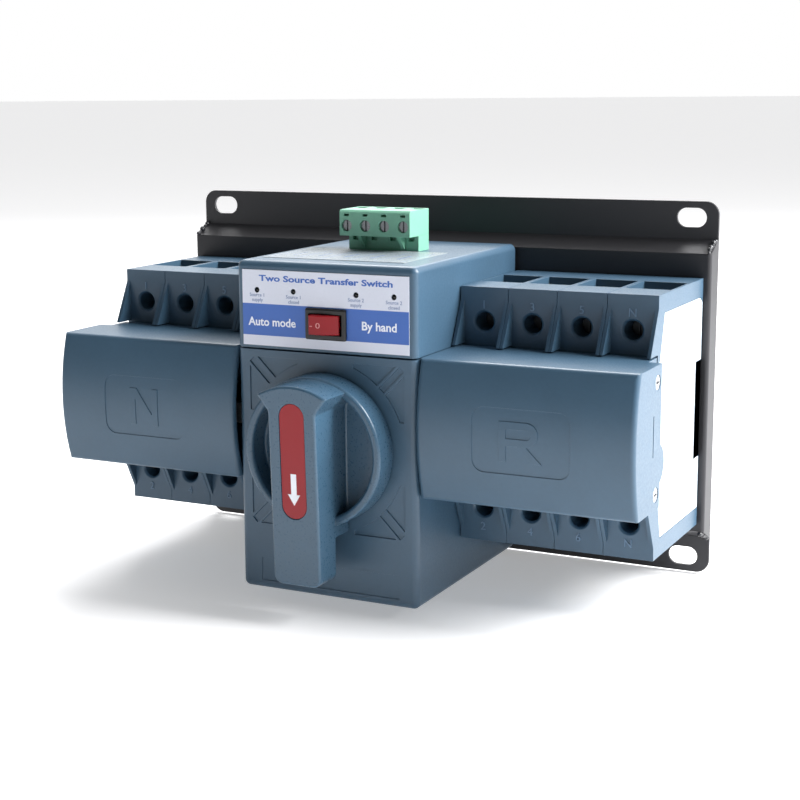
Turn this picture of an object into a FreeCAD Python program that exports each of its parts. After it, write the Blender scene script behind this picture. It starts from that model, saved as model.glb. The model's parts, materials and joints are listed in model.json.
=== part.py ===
"""Dual-source transfer switch with a manual handle, as a parametric FreeCAD document.

Millimetres.  X runs to the right, Z up, and the object faces -Y.  The wall is the plane
y = 0, so a depth d in front of the wall is the plane y = -d.  The origin is the centre of
the four wall-mounting slots.
"""
import FreeCAD, Part
import math
import os
import re

import Sketcher

doc = FreeCAD.newDocument("transfer_switch")
sheet = doc.addObject("Spreadsheet::Sheet", "sizes")

SIZES = {
    # back plate
    "plate_width": 220.0, "plate_height": 140.0, "plate_gauge": 1.5, "plate_rise": 10.0,
    "plate_flange": 14.0, "plate_bend_run": 4.3, "plate_corner": 5.0, "plate_edge_round": 1.4,
    "slot_inset_x": 10.0, "slot_inset_z": 6.0, "slot_reach": 11.0, "slot_width": 7.0,
    "screw_hole": 2.0, "plate_screw": 1.95, "plate_screw_head": 3.6,
    # mechanism box
    "box_width": 70.4, "box_front": 100.0, "box_back": 12.0, "box_top": 53.0,
    "box_split": 21.8, "box_bottom": -66.3, "box_wall": 2.2, "box_round": 2.4, "seam": 0.5,
    "lip_thick": 1.0, "lip_high": 2.6, "lip_foot": 3.0, "lip_play": 0.05,
    "recess_depth": 0.5, "recess_margin": 4.9, "recess_bow": 0.4, "recess_strip": 2.4,
    "recess_rib": 1.1, "recess_tip": 11.0,
    "plaque_left": -27.0, "plaque_right": 28.3, "plaque_top": -54.6, "plaque_bottom": -63.1,
    "plaque_depth": 0.3,
    # breakers
    "side_gap": 0.4, "pole_pitch": 18.0, "pole_gap": 0.1, "pole_middle_z": -2.9,
    "pole_half_height": 45.9, "pole_back": 10.6, "pole_face": 64.2, "fin_tip": 72.2,
    "fin_height": 15.7, "fin_inset": 4.5, "fin_wall": 1.3, "nose_front": 81.0,
    "nose_gap": 0.2, "nose_bevel": 3.0, "nose_wall": 1.6, "pocket_back": 27.0,
    "pocket_front": 48.0, "pocket_depth": 21.0, "pocket_wall": 1.1, "chamber_back": 19.5,
    "chamber_wall": 2.5, "screw_bore": 3.3, "screw_height": 33.6, "screw_rim": 0.75,
    "lever_slot_half": 8.5, "lever_half_width": 2.5, "lever_pivot_d": 76.0, "lever_hub": 4.5,
    "lever_half_thick": 2.6, "lever_play": 0.6, "lever_tip_d": 93.2, "lever_tail": 20.0,
    "tie_d": 89.0, "tie_radius": 2.0, "pivot_radius": 1.25,
    "end_plate_sink": 0.7, "end_plate_gap": 0.15,
    "end_plate_inset": 6.6,
    "cage_half": 6.0, "cage_half_height": 4.5, "cage_wall": 1.6, "clamp_screw": 2.4,
    "clamp_screw_head": 3.0, "coil_radius": 5.0, "coil_long": 17.0, "chute_pitch": 3.2,
    "chute_plate": 1.4, "chute_plates": 7,
    # rails
    "rail_middle_z": -4.55, "rail_height": 35.0, "rail_depth": 7.5, "rail_gauge": 1.0,
    "rail_inner": 27.0, "rail_clearance": 0.3, "rail_seat": 0.1, "rail_inset": 3.0,
    "clip_width": 19.6, "clip_thick": 3.0, "clip_stroke": 4.0, "clip_gap": 0.3,
    "clip_bite": 2.2, "clip_tab": 2.0,
    # covers
    "cover_gap": 0.6, "cover_reach": 4.9, "cover_top": 22.3, "cover_bottom": -26.4,
    "cover_edge_d": 99.0, "cover_bulge": 4.0, "cover_wall": 2.0, "cover_back": 66.0,
    "skirt_back": 75.5, "lobe_radius": 7.0, "lobe_d": 78.0, "lobe_z": -11.5,
    "cover_screw_d": 79.6, "cover_screw_top": 16.5, "cover_screw_bottom": -21.3,
    "cover_screw": 1.45, "cover_screw_head": 2.5, "cover_screw_sink": 1.2,
    "boss_radius": 3.2, "vent_d": 83.5, "vent_width": 0.6, "vent_low": -8.0,
    "vent_high": 5.9, "vent_depth": 0.7,
    "panel_depth": 0.3, "panel_corner": 4.0, "panel_top": 8.3, "panel_bottom": -13.8,
    "panel_near": 20.6, "panel_width": 34.3, "letter_width": 15.0, "letter_narrow": 12.3,
    "letter_height": 13.6, "letter_stroke": 2.5,
    # handle
    "handle_z": -11.4, "ring_radius": 26.5, "ring_wall": 3.2, "ring_front": 111.0,
    "ring_round": 1.3, "handle_back": 100.8, "disc_thick": 1.9, "bar_half_width": 9.1,
    "bar_front": 125.0, "bar_fall": 3.0, "bar_round": 1.0, "cap_half_width": 13.3,
    "cap_inset": 0.8, "cap_drop": 5.6, "pointer_reach": 44.4, "pointer_round": 3.2,
    "pointer_back": 110.6, "neck_reach": 29.0, "fillet_radius": 2.6,
    "inlay_half_width": 4.8, "inlay_rise": 19.7, "inlay_reach": 20.6, "inlay_floor": 121.0,
    "inlay_gap": 0.1, "inlay_sink": 0.25, "handle_screw": 1.45, "handle_screw_head": 3.0,
    # shaft and train
    "shaft_radius": 4.0, "running_gap": 0.05, "shaft_hole_gap": 0.6, "shaft_back": 13.0,
    "shaft_front": 117.5, "bush_wall": 2.0, "bush_long": 4.5, "mid_plate_d": 62.0,
    "chassis_gauge": 2.0, "chassis_side": 1.4, "chassis_gap": 0.4, "chassis_top_gap": 4.0,
    "chassis_bottom_gap": 4.3,
    "gear_module": 0.8, "main_teeth": 48, "idler_teeth": 30, "pinion_teeth": 12,
    "gear_d": 66.0, "gear_thick": 6.0, "backlash": 0.16, "idler_x": -18.0, "pinion_turn": -20.0,
    "gear_hub_wall": 3.0, "idler_hub_wall": 2.0, "pinion_hub_wall": 1.1, "idler_pin": 2.0,
    "spindle_radius": 1.5, "motor_radius": 12.0, "motor_long": 36.0, "motor_boss": 3.9,
    "cam_radius": 9.0, "cam_d": 50.0, "cam_thick": 5.0, "cam_flat": 6.5,
    "limit_near": 10.6, "limit_width": 6.8, "limit_half_height": 9.0, "limit_back": 44.0,
    # crank and yokes
    "crank_arm": 10.0, "crank_pin": 2.0, "crank_d": 83.0, "crank_thick": 4.0,
    "crank_rim": 1.5, "crank_hub_wall": 2.5, "yoke_d": 88.0, "yoke_thick": 3.0,
    "slot_play": 0.45, "yoke_stroke": 7.2, "yoke_web": 5.0, "yoke_side_gap": 1.6,
    "arm_d": 94.3, "arm_thick": 2.6, "arm_half_height": 3.5, "arm_play": 0.8,
    "arm_end_gap": 3.1, "lug_half": 1.5, "lug_wall": 2.8,
    # controls
    "rocker_x": 0.95, "rocker_z": 32.0, "bezel_width": 15.9, "bezel_height": 11.0,
    "bezel_front": 101.5, "bezel_round": 0.7, "rocker_case": 14.2, "rocker_case_high": 8.4,
    "rocker_case_back": 83.0, "snap_gap": 0.1, "rocker_well": 12.9, "rocker_well_high": 7.2,
    "rocker_pivot_d": 100.5, "rocker_half_width": 5.3, "rocker_half_height": 3.4,
    "rocker_half_throw": 12.0, "rocker_proud": 2.3, "led_radius": 1.0, "led_gap": 0.15, "led_z": 42.7,
    "led_recess": 0.9, "label_thick": 0.3, "label_inset": 2.7, "label_bottom": 23.1,
    "label_top": 49.8, "top_label_left": -30.5, "top_label_right": 25.5,
    "top_label_back": 53.0, "top_label_front": 89.5, "board_d": 86.0, "board_thick": 1.6,
    "board_bottom": 26.0, "board_top": 49.5, "board_side_gap": 1.6, "relay_deep": 15.0,
    # pluggable terminal
    "plug_pitch": 7.62, "plug_width": 28.6, "plug_x": -1.1, "plug_front": 59.0,
    "plug_back": 42.7, "plug_bottom": 58.7, "plug_top": 68.2, "plug_bevel": 0.8,
    "header_front": 51.5, "header_wall": 1.4, "pin_back": 3.9, "pin_width": 1.0,
    "socket_gap": 0.4, "plug_screw_rise": 3.7, "plug_bore": 2.1, "wire_hole": 5.0,
}
for line_number, (alias, value) in enumerate(SIZES.items(), start=1):
    sheet.set(f"A{line_number}", alias)
    sheet.set(f"B{line_number}", str(value))
    sheet.setAlias(f"B{line_number}", alias)
doc.recompute()


class Size:
    """A length read from the sheet, together with the expression that gives it."""

    def __init__(self, value, text):
        self.value = float(value)
        self.text = text

    def __add__(self, other):
        other = size(other)
        return Size(self.value + other.value, f"({self.text} + {other.text})")

    def __radd__(self, other):
        return size(other) + self

    def __sub__(self, other):
        other = size(other)
        return Size(self.value - other.value, f"({self.text} - {other.text})")

    def __rsub__(self, other):
        return size(other) - self

    def __mul__(self, other):
        other = size(other)
        return Size(self.value * other.value, f"({self.text} * {other.text})")

    __rmul__ = __mul__

    def __truediv__(self, other):
        other = size(other)
        return Size(self.value / other.value, f"({self.text} / {other.text})")

    def __neg__(self):
        return size(0.0) - self


def size(number):
    """A Size as it is, or a plain number as one."""
    return number if isinstance(number, Size) else Size(number, f"({number:.6f})")


class Sizes:
    """The sheet's cells as attributes."""

    def __getattr__(self, alias):
        return Size(sheet.get(alias), f"sizes.{alias}")


s = Sizes()

OVER = 1.0          # how far a cutting tool runs past what it cuts
LED_X = (-26.6, -12.0, 12.5, 26.9)
POLE_START = s.box_width / 2 + s.side_gap
POLE_END = POLE_START + s.pole_pitch * 4
COVER_INNER = s.box_width / 2 + s.cover_gap
COVER_OUTER = POLE_END + s.cover_reach
CHASSIS_HALF = s.box_width / 2 - s.box_wall - s.chassis_gap
CHASSIS_TOP = s.box_top - s.chassis_top_gap
CHASSIS_BOTTOM = s.box_bottom + s.chassis_bottom_gap
BUSH_RADIUS = s.shaft_radius + s.bush_wall
ARM_REACH = POLE_END - s.arm_end_gap
YOKE_SIDE = CHASSIS_HALF - s.yoke_side_gap
POINTER_END = s.handle_z - s.pointer_reach
HANDLE_SCREW_SINK = size(1.9)
COVER_SCREW_BITE = size(3.0)
PANEL_X = (COVER_INNER + s.panel_near, COVER_INNER + s.panel_near + s.panel_width)


def bind(obj, prop, number):
    """Tie a property to the sheet when its size comes from there, or set it once."""
    number = size(number)
    if "sizes." in number.text:
        obj.setExpression(prop, number.text)
    else:
        obj.setExpression(prop, f"{number.value:.6f}")


def root(number):
    """The square root of a Size."""
    number = size(number)
    return Size(math.sqrt(number.value), f"sqrt({number.text})")


# ---------------------------------------------------------------- Part helpers

def place(obj, x=0.0, d=0.0, z=0.0):
    """Bind the placement of an object at (x, -d, z)."""
    bind(obj, "Placement.Base.x", x)
    bind(obj, "Placement.Base.y", -size(d))
    bind(obj, "Placement.Base.z", z)


def box(name, x, d, z):
    """A block between two values along X, in depth and in height."""
    obj = doc.addObject("Part::Box", name)
    bind(obj, "Length", size(x[1]) - x[0])
    bind(obj, "Width", size(d[1]) - d[0])
    bind(obj, "Height", size(z[1]) - z[0])
    place(obj, x[0], d[1], z[0])
    return obj


TURNS = {
    "x": FreeCAD.Rotation(FreeCAD.Vector(0, 1, 0), 90),
    "front": FreeCAD.Rotation(FreeCAD.Vector(1, 0, 0), 90),
    "up": FreeCAD.Rotation(),
}


def rod(name, radius, length, at, along="front"):
    """A cylinder from a point (x, d, z) along +X, towards the front, or up."""
    obj = doc.addObject("Part::Cylinder", name)
    obj.Placement = FreeCAD.Placement(FreeCAD.Vector(), TURNS[along])
    bind(obj, "Radius", radius)
    bind(obj, "Height", length)
    place(obj, *at)
    return obj


def ball(name, radius, at):
    """A sphere about (x, d, z)."""
    obj = doc.addObject("Part::Sphere", name)
    bind(obj, "Radius", radius)
    place(obj, *at)
    return obj


def fuse(name, pieces):
    """One solid from several that touch or overlap."""
    obj = doc.addObject("Part::MultiFuse", name)
    obj.Shapes = pieces
    obj.Refine = True
    return obj


def cut(name, base, *tools):
    """The base less every tool."""
    obj = doc.addObject("Part::Cut", name)
    obj.Base = base
    obj.Tool = tools[0] if len(tools) == 1 else fuse(name + "_tools", list(tools))
    obj.Refine = True
    return obj


def group(name, pieces):
    """Separate solids kept in one object."""
    obj = doc.addObject("Part::Compound", name)
    obj.Links = pieces
    return obj


def moved(name, source, x=0.0, d=0.0, z=0.0):
    """A shifted copy of an object, tied to it."""
    obj = group(name, [source])
    place(obj, x, d, z)
    return obj


def mirrored(name, source):
    """The other hand of an object, mirrored in the plane x = 0."""
    obj = doc.addObject("Part::Mirroring", name)
    obj.Source = source
    obj.Normal = (1, 0, 0)
    return obj


NODES = {}


def node(name, obj):
    """Name an object as a finished sub-part."""
    obj.Label = name
    NODES[name] = obj
    return obj


# ---------------------------------------------------------- PartDesign helpers

def new_body(name):
    """An empty body."""
    return doc.addObject("PartDesign::Body", name)


def sketch_on(body, name, plane, offset):
    """A sketch on one of the body's own planes, shifted along that plane's normal.

    The normal of XZ_Plane points to the front, so there the offset is a depth and a sketch
    point is (x, z).  On YZ_Plane the offset is x and a point is (-depth, z).
    """
    sketch = body.newObject("Sketcher::SketchObject", name)
    support = next(f for f in body.Origin.OriginFeatures if f.Role == plane)
    sketch.AttachmentSupport = [(support, "")]
    sketch.MapMode = "FlatFace"
    bind(sketch, "AttachmentOffset.Base.z", offset)
    return sketch


def pin_point(sketch, geometry, end, point):
    """Fix one end of a sketch line or arc at a point whose coordinates come from the sheet."""
    for kind, number in (("DistanceX", point[0]), ("DistanceY", point[1])):
        number = size(number)
        index = sketch.addConstraint(
            Sketcher.Constraint(kind, -1, 1, geometry, end, number.value))
        if "sizes." in number.text:
            sketch.setExpression(f"Constraints[{index}]", number.text)


def outline(sketch, points, arcs=()):
    """A closed outline through the points.

    arcs maps the number of a stretch to the (radius, centre) of the arc it is instead of a
    line; the centre is only where the arc is drawn first.  A sketch's arcs all run
    counter-clockwise, so an arc that goes the other way round is drawn from its end.
    """
    arcs = dict(arcs)
    count = len(points)
    for index in range(count):
        start, end = points[index], points[(index + 1) % count]
        a = FreeCAD.Vector(size(start[0]).value, size(start[1]).value)
        b = FreeCAD.Vector(size(end[0]).value, size(end[1]).value)
        if index in arcs:
            radius, centre = arcs[index]
            c = FreeCAD.Vector(size(centre[0]).value, size(centre[1]).value)
            middle = (a + b) * 0.5 - c
            middle = c + middle * (size(radius).value / middle.Length)
            rising = (a - c).cross(b - c).z > 0
            arc = Part.Arc(a, middle, b) if rising else Part.Arc(b, middle, a)
            number = sketch.addGeometry(arc)
            made = sketch.Geometry[number]
            first = 1 if (made.StartPoint - a).Length < (made.EndPoint - a).Length else 2
        else:
            number = sketch.addGeometry(Part.LineSegment(a, b))
            first = 1
        pin_point(sketch, number, first, start)
        pin_point(sketch, number, 3 - first, end)
        if index in arcs:
            radius = size(arcs[index][0])
            rule = sketch.addConstraint(Sketcher.Constraint("Radius", number, radius.value))
            if "sizes." in radius.text:
                sketch.setExpression(f"Constraints[{rule}]", radius.text)
    return sketch


def rectangle(sketch, x, z):
    """A closed rectangle between two values each way."""
    return outline(sketch, [(x[0], z[0]), (x[1], z[0]), (x[1], z[1]), (x[0], z[1])])


def circle(sketch, centre, radius):
    """A circle whose centre and radius come from the sheet."""
    radius = size(radius)
    spot = FreeCAD.Vector(size(centre[0]).value, size(centre[1]).value)
    number = sketch.addGeometry(Part.Circle(spot, FreeCAD.Vector(0, 0, 1), radius.value))
    pin_point(sketch, number, 3, centre)
    rule = sketch.addConstraint(Sketcher.Constraint("Radius", number, radius.value))
    if "sizes." in radius.text:
        sketch.setExpression(f"Constraints[{rule}]", radius.text)
    return sketch


def pad(body, sketch, length):
    """Grow a sketch along its normal."""
    feature = body.newObject("PartDesign::Pad", sketch.Name + "_pad")
    feature.Profile = sketch
    bind(feature, "Length", length)
    sketch.Visibility = False
    doc.recompute()
    return feature


def pocket(body, sketch, length):
    """Cut a sketch against its normal, and check that it removed something."""
    before = body.Shape.Volume
    feature = body.newObject("PartDesign::Pocket", sketch.Name + "_pocket")
    feature.Profile = sketch
    bind(feature, "Length", length)
    doc.recompute()
    if feature.Shape.Volume > before - 0.01:
        raise RuntimeError(f"{feature.Name} removes nothing")
    return feature


def edges_where(shape, test):
    """Names of the edges whose middle point and direction pass a test."""
    names = []
    for number, edge in enumerate(shape.Edges, start=1):
        middle = edge.valueAt((edge.FirstParameter + edge.LastParameter) / 2)
        along = edge.tangentAt((edge.FirstParameter + edge.LastParameter) / 2)
        if test(middle, along):
            names.append(f"Edge{number}")
    return names


def round_edges(body, radius, test):
    """Round the edges of the body's tip that pass a test."""
    tip = body.Tip
    names = edges_where(tip.Shape, test)
    if not names:
        raise RuntimeError(f"{body.Name}: no edge to round")
    feature = body.newObject("PartDesign::Fillet", f"{body.Name}_round{len(body.Group)}")
    feature.Base = (tip, names)
    bind(feature, "Radius", radius)
    doc.recompute()
    return feature


def bevel_edges(body, width, test):
    """Chamfer the edges of the body's tip that pass a test."""
    tip = body.Tip
    names = edges_where(tip.Shape, test)
    if not names:
        raise RuntimeError(f"{body.Name}: no edge to bevel")
    feature = body.newObject("PartDesign::Chamfer", f"{body.Name}_bevel{len(body.Group)}")
    feature.Base = (tip, names)
    bind(feature, "Size", width)
    doc.recompute()
    return feature


def near(a, b, slack=0.05):
    """Whether two lengths are the same."""
    return abs(a - size(b).value) < slack


# ------------------------------------------------------------------ back plate

def make_back_plate():
    """The folded steel plate: two slotted flanges on the wall and a raised web between."""
    body = new_body("back_plate")
    half = s.plate_height / 2
    gauge, rise, run = s.plate_gauge, s.plate_rise, s.plate_bend_run
    bend = half - s.plate_flange
    inner = bend - gauge * 0.8
    upper = [(-gauge, half), (-gauge, bend), (-rise, bend - run)]
    lower = [(-rise, run - bend), (-gauge, -bend), (-gauge, -half)]
    back = [(0.0, -half), (0.0, -inner), (gauge - rise, run - inner),
            (gauge - rise, inner - run), (0.0, inner), (0.0, half)]
    web = outline(sketch_on(body, "plate_fold", "YZ_Plane", -(s.plate_width / 2)),
                  upper + lower + back)
    pad(body, web, s.plate_width)
    for side, start in (("left", -(s.plate_width / 2)), ("right", s.plate_width / 2 - gauge)):
        wall = sketch_on(body, f"plate_wall_{side}", "YZ_Plane", start)
        outline(wall, [(-rise, bend - run), (-gauge * 0.5, bend - 0.6), (0.0, inner - 0.6),
                       (0.0, 0.6 - inner), (-gauge * 0.5, 0.6 - bend), (-rise, run - bend)])
        pad(body, wall, gauge)
    slots = sketch_on(body, "plate_slots", "XZ_Plane", gauge + OVER)
    straight = s.slot_reach - s.slot_width
    radius = s.slot_width / 2
    for sx in (-1, 1):
        for sz in (-1, 1):
            cx = (s.plate_width / 2 - s.slot_inset_x) * sx
            cz = (half - s.slot_inset_z) * sz
            left, right = cx - straight / 2, cx + straight / 2
            outline(slots,
                    [(left, cz + radius), (left, cz - radius), (right, cz - radius),
                     (right, cz + radius)],
                    {0: (radius, (left + 0.4, cz)), 2: (radius, (right - 0.4, cz))})
    pocket(body, slots, gauge + OVER * 2)
    holes = sketch_on(body, "plate_holes", "XZ_Plane", rise + OVER)
    for x, z in plate_screw_places():
        circle(holes, (x, z), s.screw_hole)
    pocket(body, holes, gauge + OVER * 2)
    width = size(s.plate_width).value / 2
    round_edges(body, s.plate_corner, lambda p, t: abs(t.y) > 0.9 and near(abs(p.x), width)
                and near(abs(p.z), half))
    round_edges(body, s.plate_edge_round, lambda p, t: abs(t.z) > 0.9
                and near(abs(p.x), width) and near(-p.y, rise))
    node("back_plate", body)


def plate_screw_places():
    """Where screws go into the web: four for the rails and four for the chassis."""
    rail_x = [POLE_START + s.pole_pitch * 0.7, POLE_START + s.pole_pitch * 3.3]
    places = []
    for side in (-1, 1):
        places += [(x * side, s.rail_middle_z) for x in rail_x]
        places += [((CHASSIS_HALF - 9.0) * side, CHASSIS_TOP - 7.0),
                   ((CHASSIS_HALF - 9.0) * side, CHASSIS_BOTTOM + 15.0)]
    return places


def screw(name, at, radius, head, reach, head_thick=1.8):
    """A slotted pan-head screw whose head stands on depth d and whose shank goes back."""
    x, d, z = at
    shank = rod(name + "_shank", radius, size(reach) + 0.2, (x, size(d) - reach, z))
    cap = rod(name + "_head", head, head_thick, (x, d, z))
    whole = fuse(name + "_blank", [shank, cap])
    slot = box(name + "_slot", (size(x) - 0.35, size(x) + 0.35),
               (size(d) + head_thick - 0.7, size(d) + head_thick + 0.1),
               (size(z) - head - 0.1, size(z) + head + 0.1))
    return cut(name, whole, slot)


def make_plate_screws():
    """The screws that hold the rails and the chassis to the web."""
    screws = []
    for number, (x, z) in enumerate(plate_screw_places()):
        on_rail = number % 4 < 2
        seat = s.plate_rise + (s.rail_gauge if on_rail else s.chassis_gauge)
        screws.append(screw(f"plate_screw_{number}", (x, seat, z), s.plate_screw,
                            s.plate_screw_head, seat - s.plate_rise + s.plate_gauge))
    node("plate_screws", group("plate_screws", screws))


# ----------------------------------------------------------------------- rails

def make_rails():
    """Two short top-hat rails, one behind each breaker."""
    half, gauge = s.rail_height / 2, s.rail_gauge
    inner, deep, middle = s.rail_inner / 2, s.plate_rise, s.rail_middle_z
    front = deep + s.rail_depth
    body = new_body("din_rail")
    hat = [(-front, middle + half), (-front, middle + inner - gauge),
           (-(deep + gauge), middle + inner - gauge), (-(deep + gauge), middle - inner + gauge),
           (-front, middle - inner + gauge), (-front, middle - half),
           (gauge - front, middle - half), (gauge - front, middle - inner),
           (-deep, middle - inner), (-deep, middle + inner),
           (gauge - front, middle + inner), (gauge - front, middle + half)]
    start = POLE_START + s.rail_inset
    sketch = outline(sketch_on(body, "rail_hat", "YZ_Plane", start), hat)
    pad(body, sketch, POLE_END - POLE_START - s.rail_inset * 3)
    holes = sketch_on(body, "rail_holes", "XZ_Plane", deep + gauge + OVER)
    for x, z in plate_screw_places()[4:6]:
        circle(holes, (x, z), s.screw_hole)
    pocket(body, holes, gauge + OVER * 2)
    node("din_rails", group("din_rails", [body, mirrored("din_rail_left", body)]))


# --------------------------------------------------------------------- chassis

def main_centre():
    """The axis of the handle, as (x, z)."""
    return size(0.0), s.handle_z


def idler_centre():
    """The axis of the idler gear, in mesh with the gear on the handle shaft."""
    x0, z0 = main_centre()
    reach = s.gear_module * (s.main_teeth + s.idler_teeth) / 2
    return s.idler_x, z0 - root(reach * reach - s.idler_x * s.idler_x)


def pinion_centre():
    """The axis of the motor, in mesh with the idler gear."""
    x1, z1 = idler_centre()
    reach = s.gear_module * (s.idler_teeth + s.pinion_teeth) / 2
    turn = Size(math.cos(math.radians(s.pinion_turn.value)), "cos(sizes.pinion_turn)")
    fall = Size(math.sin(math.radians(s.pinion_turn.value)), "sin(sizes.pinion_turn)")
    return x1 + reach * turn, z1 + reach * fall


def make_chassis():
    """The folded steel frame that carries the shaft, the gears and the motor."""
    base_d, gauge, wide = s.plate_rise, s.chassis_gauge, CHASSIS_HALF
    base = box("chassis_base", (-wide, wide), (base_d, base_d + gauge),
               (CHASSIS_BOTTOM, CHASSIS_TOP))
    low, high = CHASSIS_BOTTOM + 8.0, s.handle_z + 24.0
    walls = [box(f"chassis_wall_{name}", x, (base_d, s.mid_plate_d + gauge), (low, high))
             for name, x in (("left", (-wide, s.chassis_side - wide)),
                                ("right", (wide - s.chassis_side, wide)))]
    mid = box("chassis_mid", (-wide, wide), (s.mid_plate_d, s.mid_plate_d + gauge), (low, high))
    frame = fuse("chassis_frame", [base] + walls + [mid])
    tools = [rod("chassis_bush_hole", BUSH_RADIUS, 100.0, (0.0, 0.0, s.handle_z))]
    x, z = idler_centre()
    tools.append(rod("chassis_idler_hole", s.idler_pin, 40.0, (x, s.mid_plate_d - 20.0, z)))
    x, z = pinion_centre()
    tools.append(rod("chassis_motor_hole", s.motor_boss + 0.1, 40.0,
                     (x, s.mid_plate_d - 20.0, z)))
    for number, (x, z) in enumerate(plate_screw_places()):
        if number % 4 >= 2:
            tools.append(rod(f"chassis_screw_hole_{number}", s.screw_hole, 20.0, (x, 5.0, z)))
    node("chassis", cut("chassis", frame, *tools))


def make_bushes():
    """The two plain bearings of the handle shaft."""
    bushes = []
    for name, d in (("rear", s.plate_rise), ("front", s.mid_plate_d - 1.0)):
        sleeve = rod(f"bush_{name}_sleeve", BUSH_RADIUS, s.bush_long, (0.0, d, s.handle_z))
        bore = rod(f"bush_{name}_bore", s.shaft_radius + s.running_gap, s.bush_long + OVER * 2,
                   (0.0, size(d) - OVER, s.handle_z))
        bushes.append(cut(f"bush_{name}", sleeve, bore))
    node("shaft_bushes", group("shaft_bushes", bushes))


def make_motor():
    """The gear motor that turns the shaft when the switch works by itself."""
    x, z = pinion_centre()
    can = rod("motor_can", s.motor_radius, s.motor_long, (x, s.mid_plate_d - s.motor_long, z))
    cap = rod("motor_cap", s.motor_radius - 1.5, 5.0,
              (x, s.mid_plate_d - s.motor_long - 5.0, z))
    boss = rod("motor_boss", s.motor_boss, s.chassis_gauge, (x, s.mid_plate_d, z))
    well = rod("motor_well", s.spindle_radius + s.running_gap, 8.0,
               (x, s.mid_plate_d - 5.0, z))
    node("gear_motor", cut("gear_motor", fuse("motor_case", [can, cap, boss]), well))


# ----------------------------------------------------------------------- gears

def involute_angle(base, radius):
    """The polar angle that an involute has turned through at a radius."""
    press = math.acos(min(1.0, base / radius))
    return math.tan(press) - press


def gear_face(teeth, module, backlash, phase):
    """The face of a spur gear about the origin of the XZ plane, a tooth at angle phase."""
    pitch = module * teeth / 2
    base = pitch * math.cos(math.radians(20))
    tip, foot = pitch + 0.8 * module, pitch - 1.05 * module
    half = math.pi / (2 * teeth) - backlash / (2 * pitch)
    half += involute_angle(base, pitch)
    low = max(base, foot)
    steps = 5
    points = []
    for tooth in range(teeth):
        centre = phase + 2 * math.pi * tooth / teeth
        flank = [low + (tip - low) * k / steps for k in range(steps + 1)]
        left = [(r, centre + half - involute_angle(base, r)) for r in flank]
        right = [(r, centre - half + involute_angle(base, r)) for r in flank]
        ends = [(foot, centre - half)] + right + list(reversed(left)) + [(foot, centre + half)]
        points += [FreeCAD.Vector(r * math.cos(a), 0, r * math.sin(a)) for r, a in ends]
    return Part.Face(Part.makePolygon(points + [points[0]]))


def meshing_phase(line, teeth_a, phase_a, teeth_b):
    """The angle of a tooth of gear b that puts it in mesh with gear a along a line."""
    part = teeth_a * (line - phase_a) / (2 * math.pi)
    return line + math.pi - (0.5 - part) * 2 * math.pi / teeth_b


def gear_node(name, teeth, centre, phase, bore, hubs):
    """A spur gear on a bore, with cylindrical hubs as (radius, depth from, depth to)."""
    face = gear_face(int(teeth.value), s.gear_module.value, s.backlash.value, phase)
    solid = face.extrude(FreeCAD.Vector(0, -s.gear_thick.value, 0))
    for radius, start, end in hubs:
        solid = solid.fuse(Part.makeCylinder(
            size(radius).value, size(end).value - size(start).value,
            FreeCAD.Vector(0, s.gear_d.value - size(start).value, 0),
            FreeCAD.Vector(0, -1, 0)))
    reach = 200.0
    solid = solid.cut(Part.makeCylinder(size(bore).value, reach,
                                        FreeCAD.Vector(0, reach / 2, 0),
                                        FreeCAD.Vector(0, -1, 0)))
    obj = doc.addObject("Part::Feature", name)
    obj.Shape = solid.removeSplitter()
    place(obj, centre[0], s.gear_d, centre[1])
    node(name, obj)


def make_gears():
    """The gear on the handle shaft, the idler and the motor pinion, in mesh at rest."""
    main, idler, pinion = main_centre(), idler_centre(), pinion_centre()

    def line(a, b):
        return math.atan2(b[1].value - a[1].value, b[0].value - a[0].value)

    idler_phase = meshing_phase(line(main, idler), s.main_teeth.value, 0.0,
                                s.idler_teeth.value)
    pinion_phase = meshing_phase(line(idler, pinion), s.idler_teeth.value, idler_phase,
                                 s.pinion_teeth.value)
    gear_node("main_gear", s.main_teeth, main, 0.0, s.shaft_radius,
              [(s.shaft_radius + s.gear_hub_wall, s.gear_d, s.gear_d + s.gear_thick + 3.0)])
    gear_node("idler_gear", s.idler_teeth, idler, idler_phase, s.idler_pin + s.running_gap,
              [(s.idler_pin + s.idler_hub_wall, s.gear_d - 1.6,
                s.gear_d + s.gear_thick + 1.5)])
    gear_node("motor_pinion", s.pinion_teeth, pinion, pinion_phase, s.spindle_radius,
              [(s.spindle_radius + s.pinion_hub_wall, s.gear_d,
                s.gear_d + s.gear_thick + 1.5)])
    x, z = idler_centre()
    node("idler_pin", fuse("idler_pin", [
        rod("idler_pin_shank", s.idler_pin, s.gear_d - s.mid_plate_d + s.gear_thick + 4.0,
            (x, s.mid_plate_d - 1.5, z)),
        rod("idler_pin_head", s.idler_pin + 1.4, 1.2, (x, s.gear_d + s.gear_thick + 1.8, z))]))
    x, z = pinion_centre()
    node("motor_spindle", rod("motor_spindle", s.spindle_radius, s.gear_d - s.mid_plate_d + 12.0,
                              (x, s.mid_plate_d - 4.5, z)))


# ---------------------------------------------------------------- handle shaft

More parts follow.
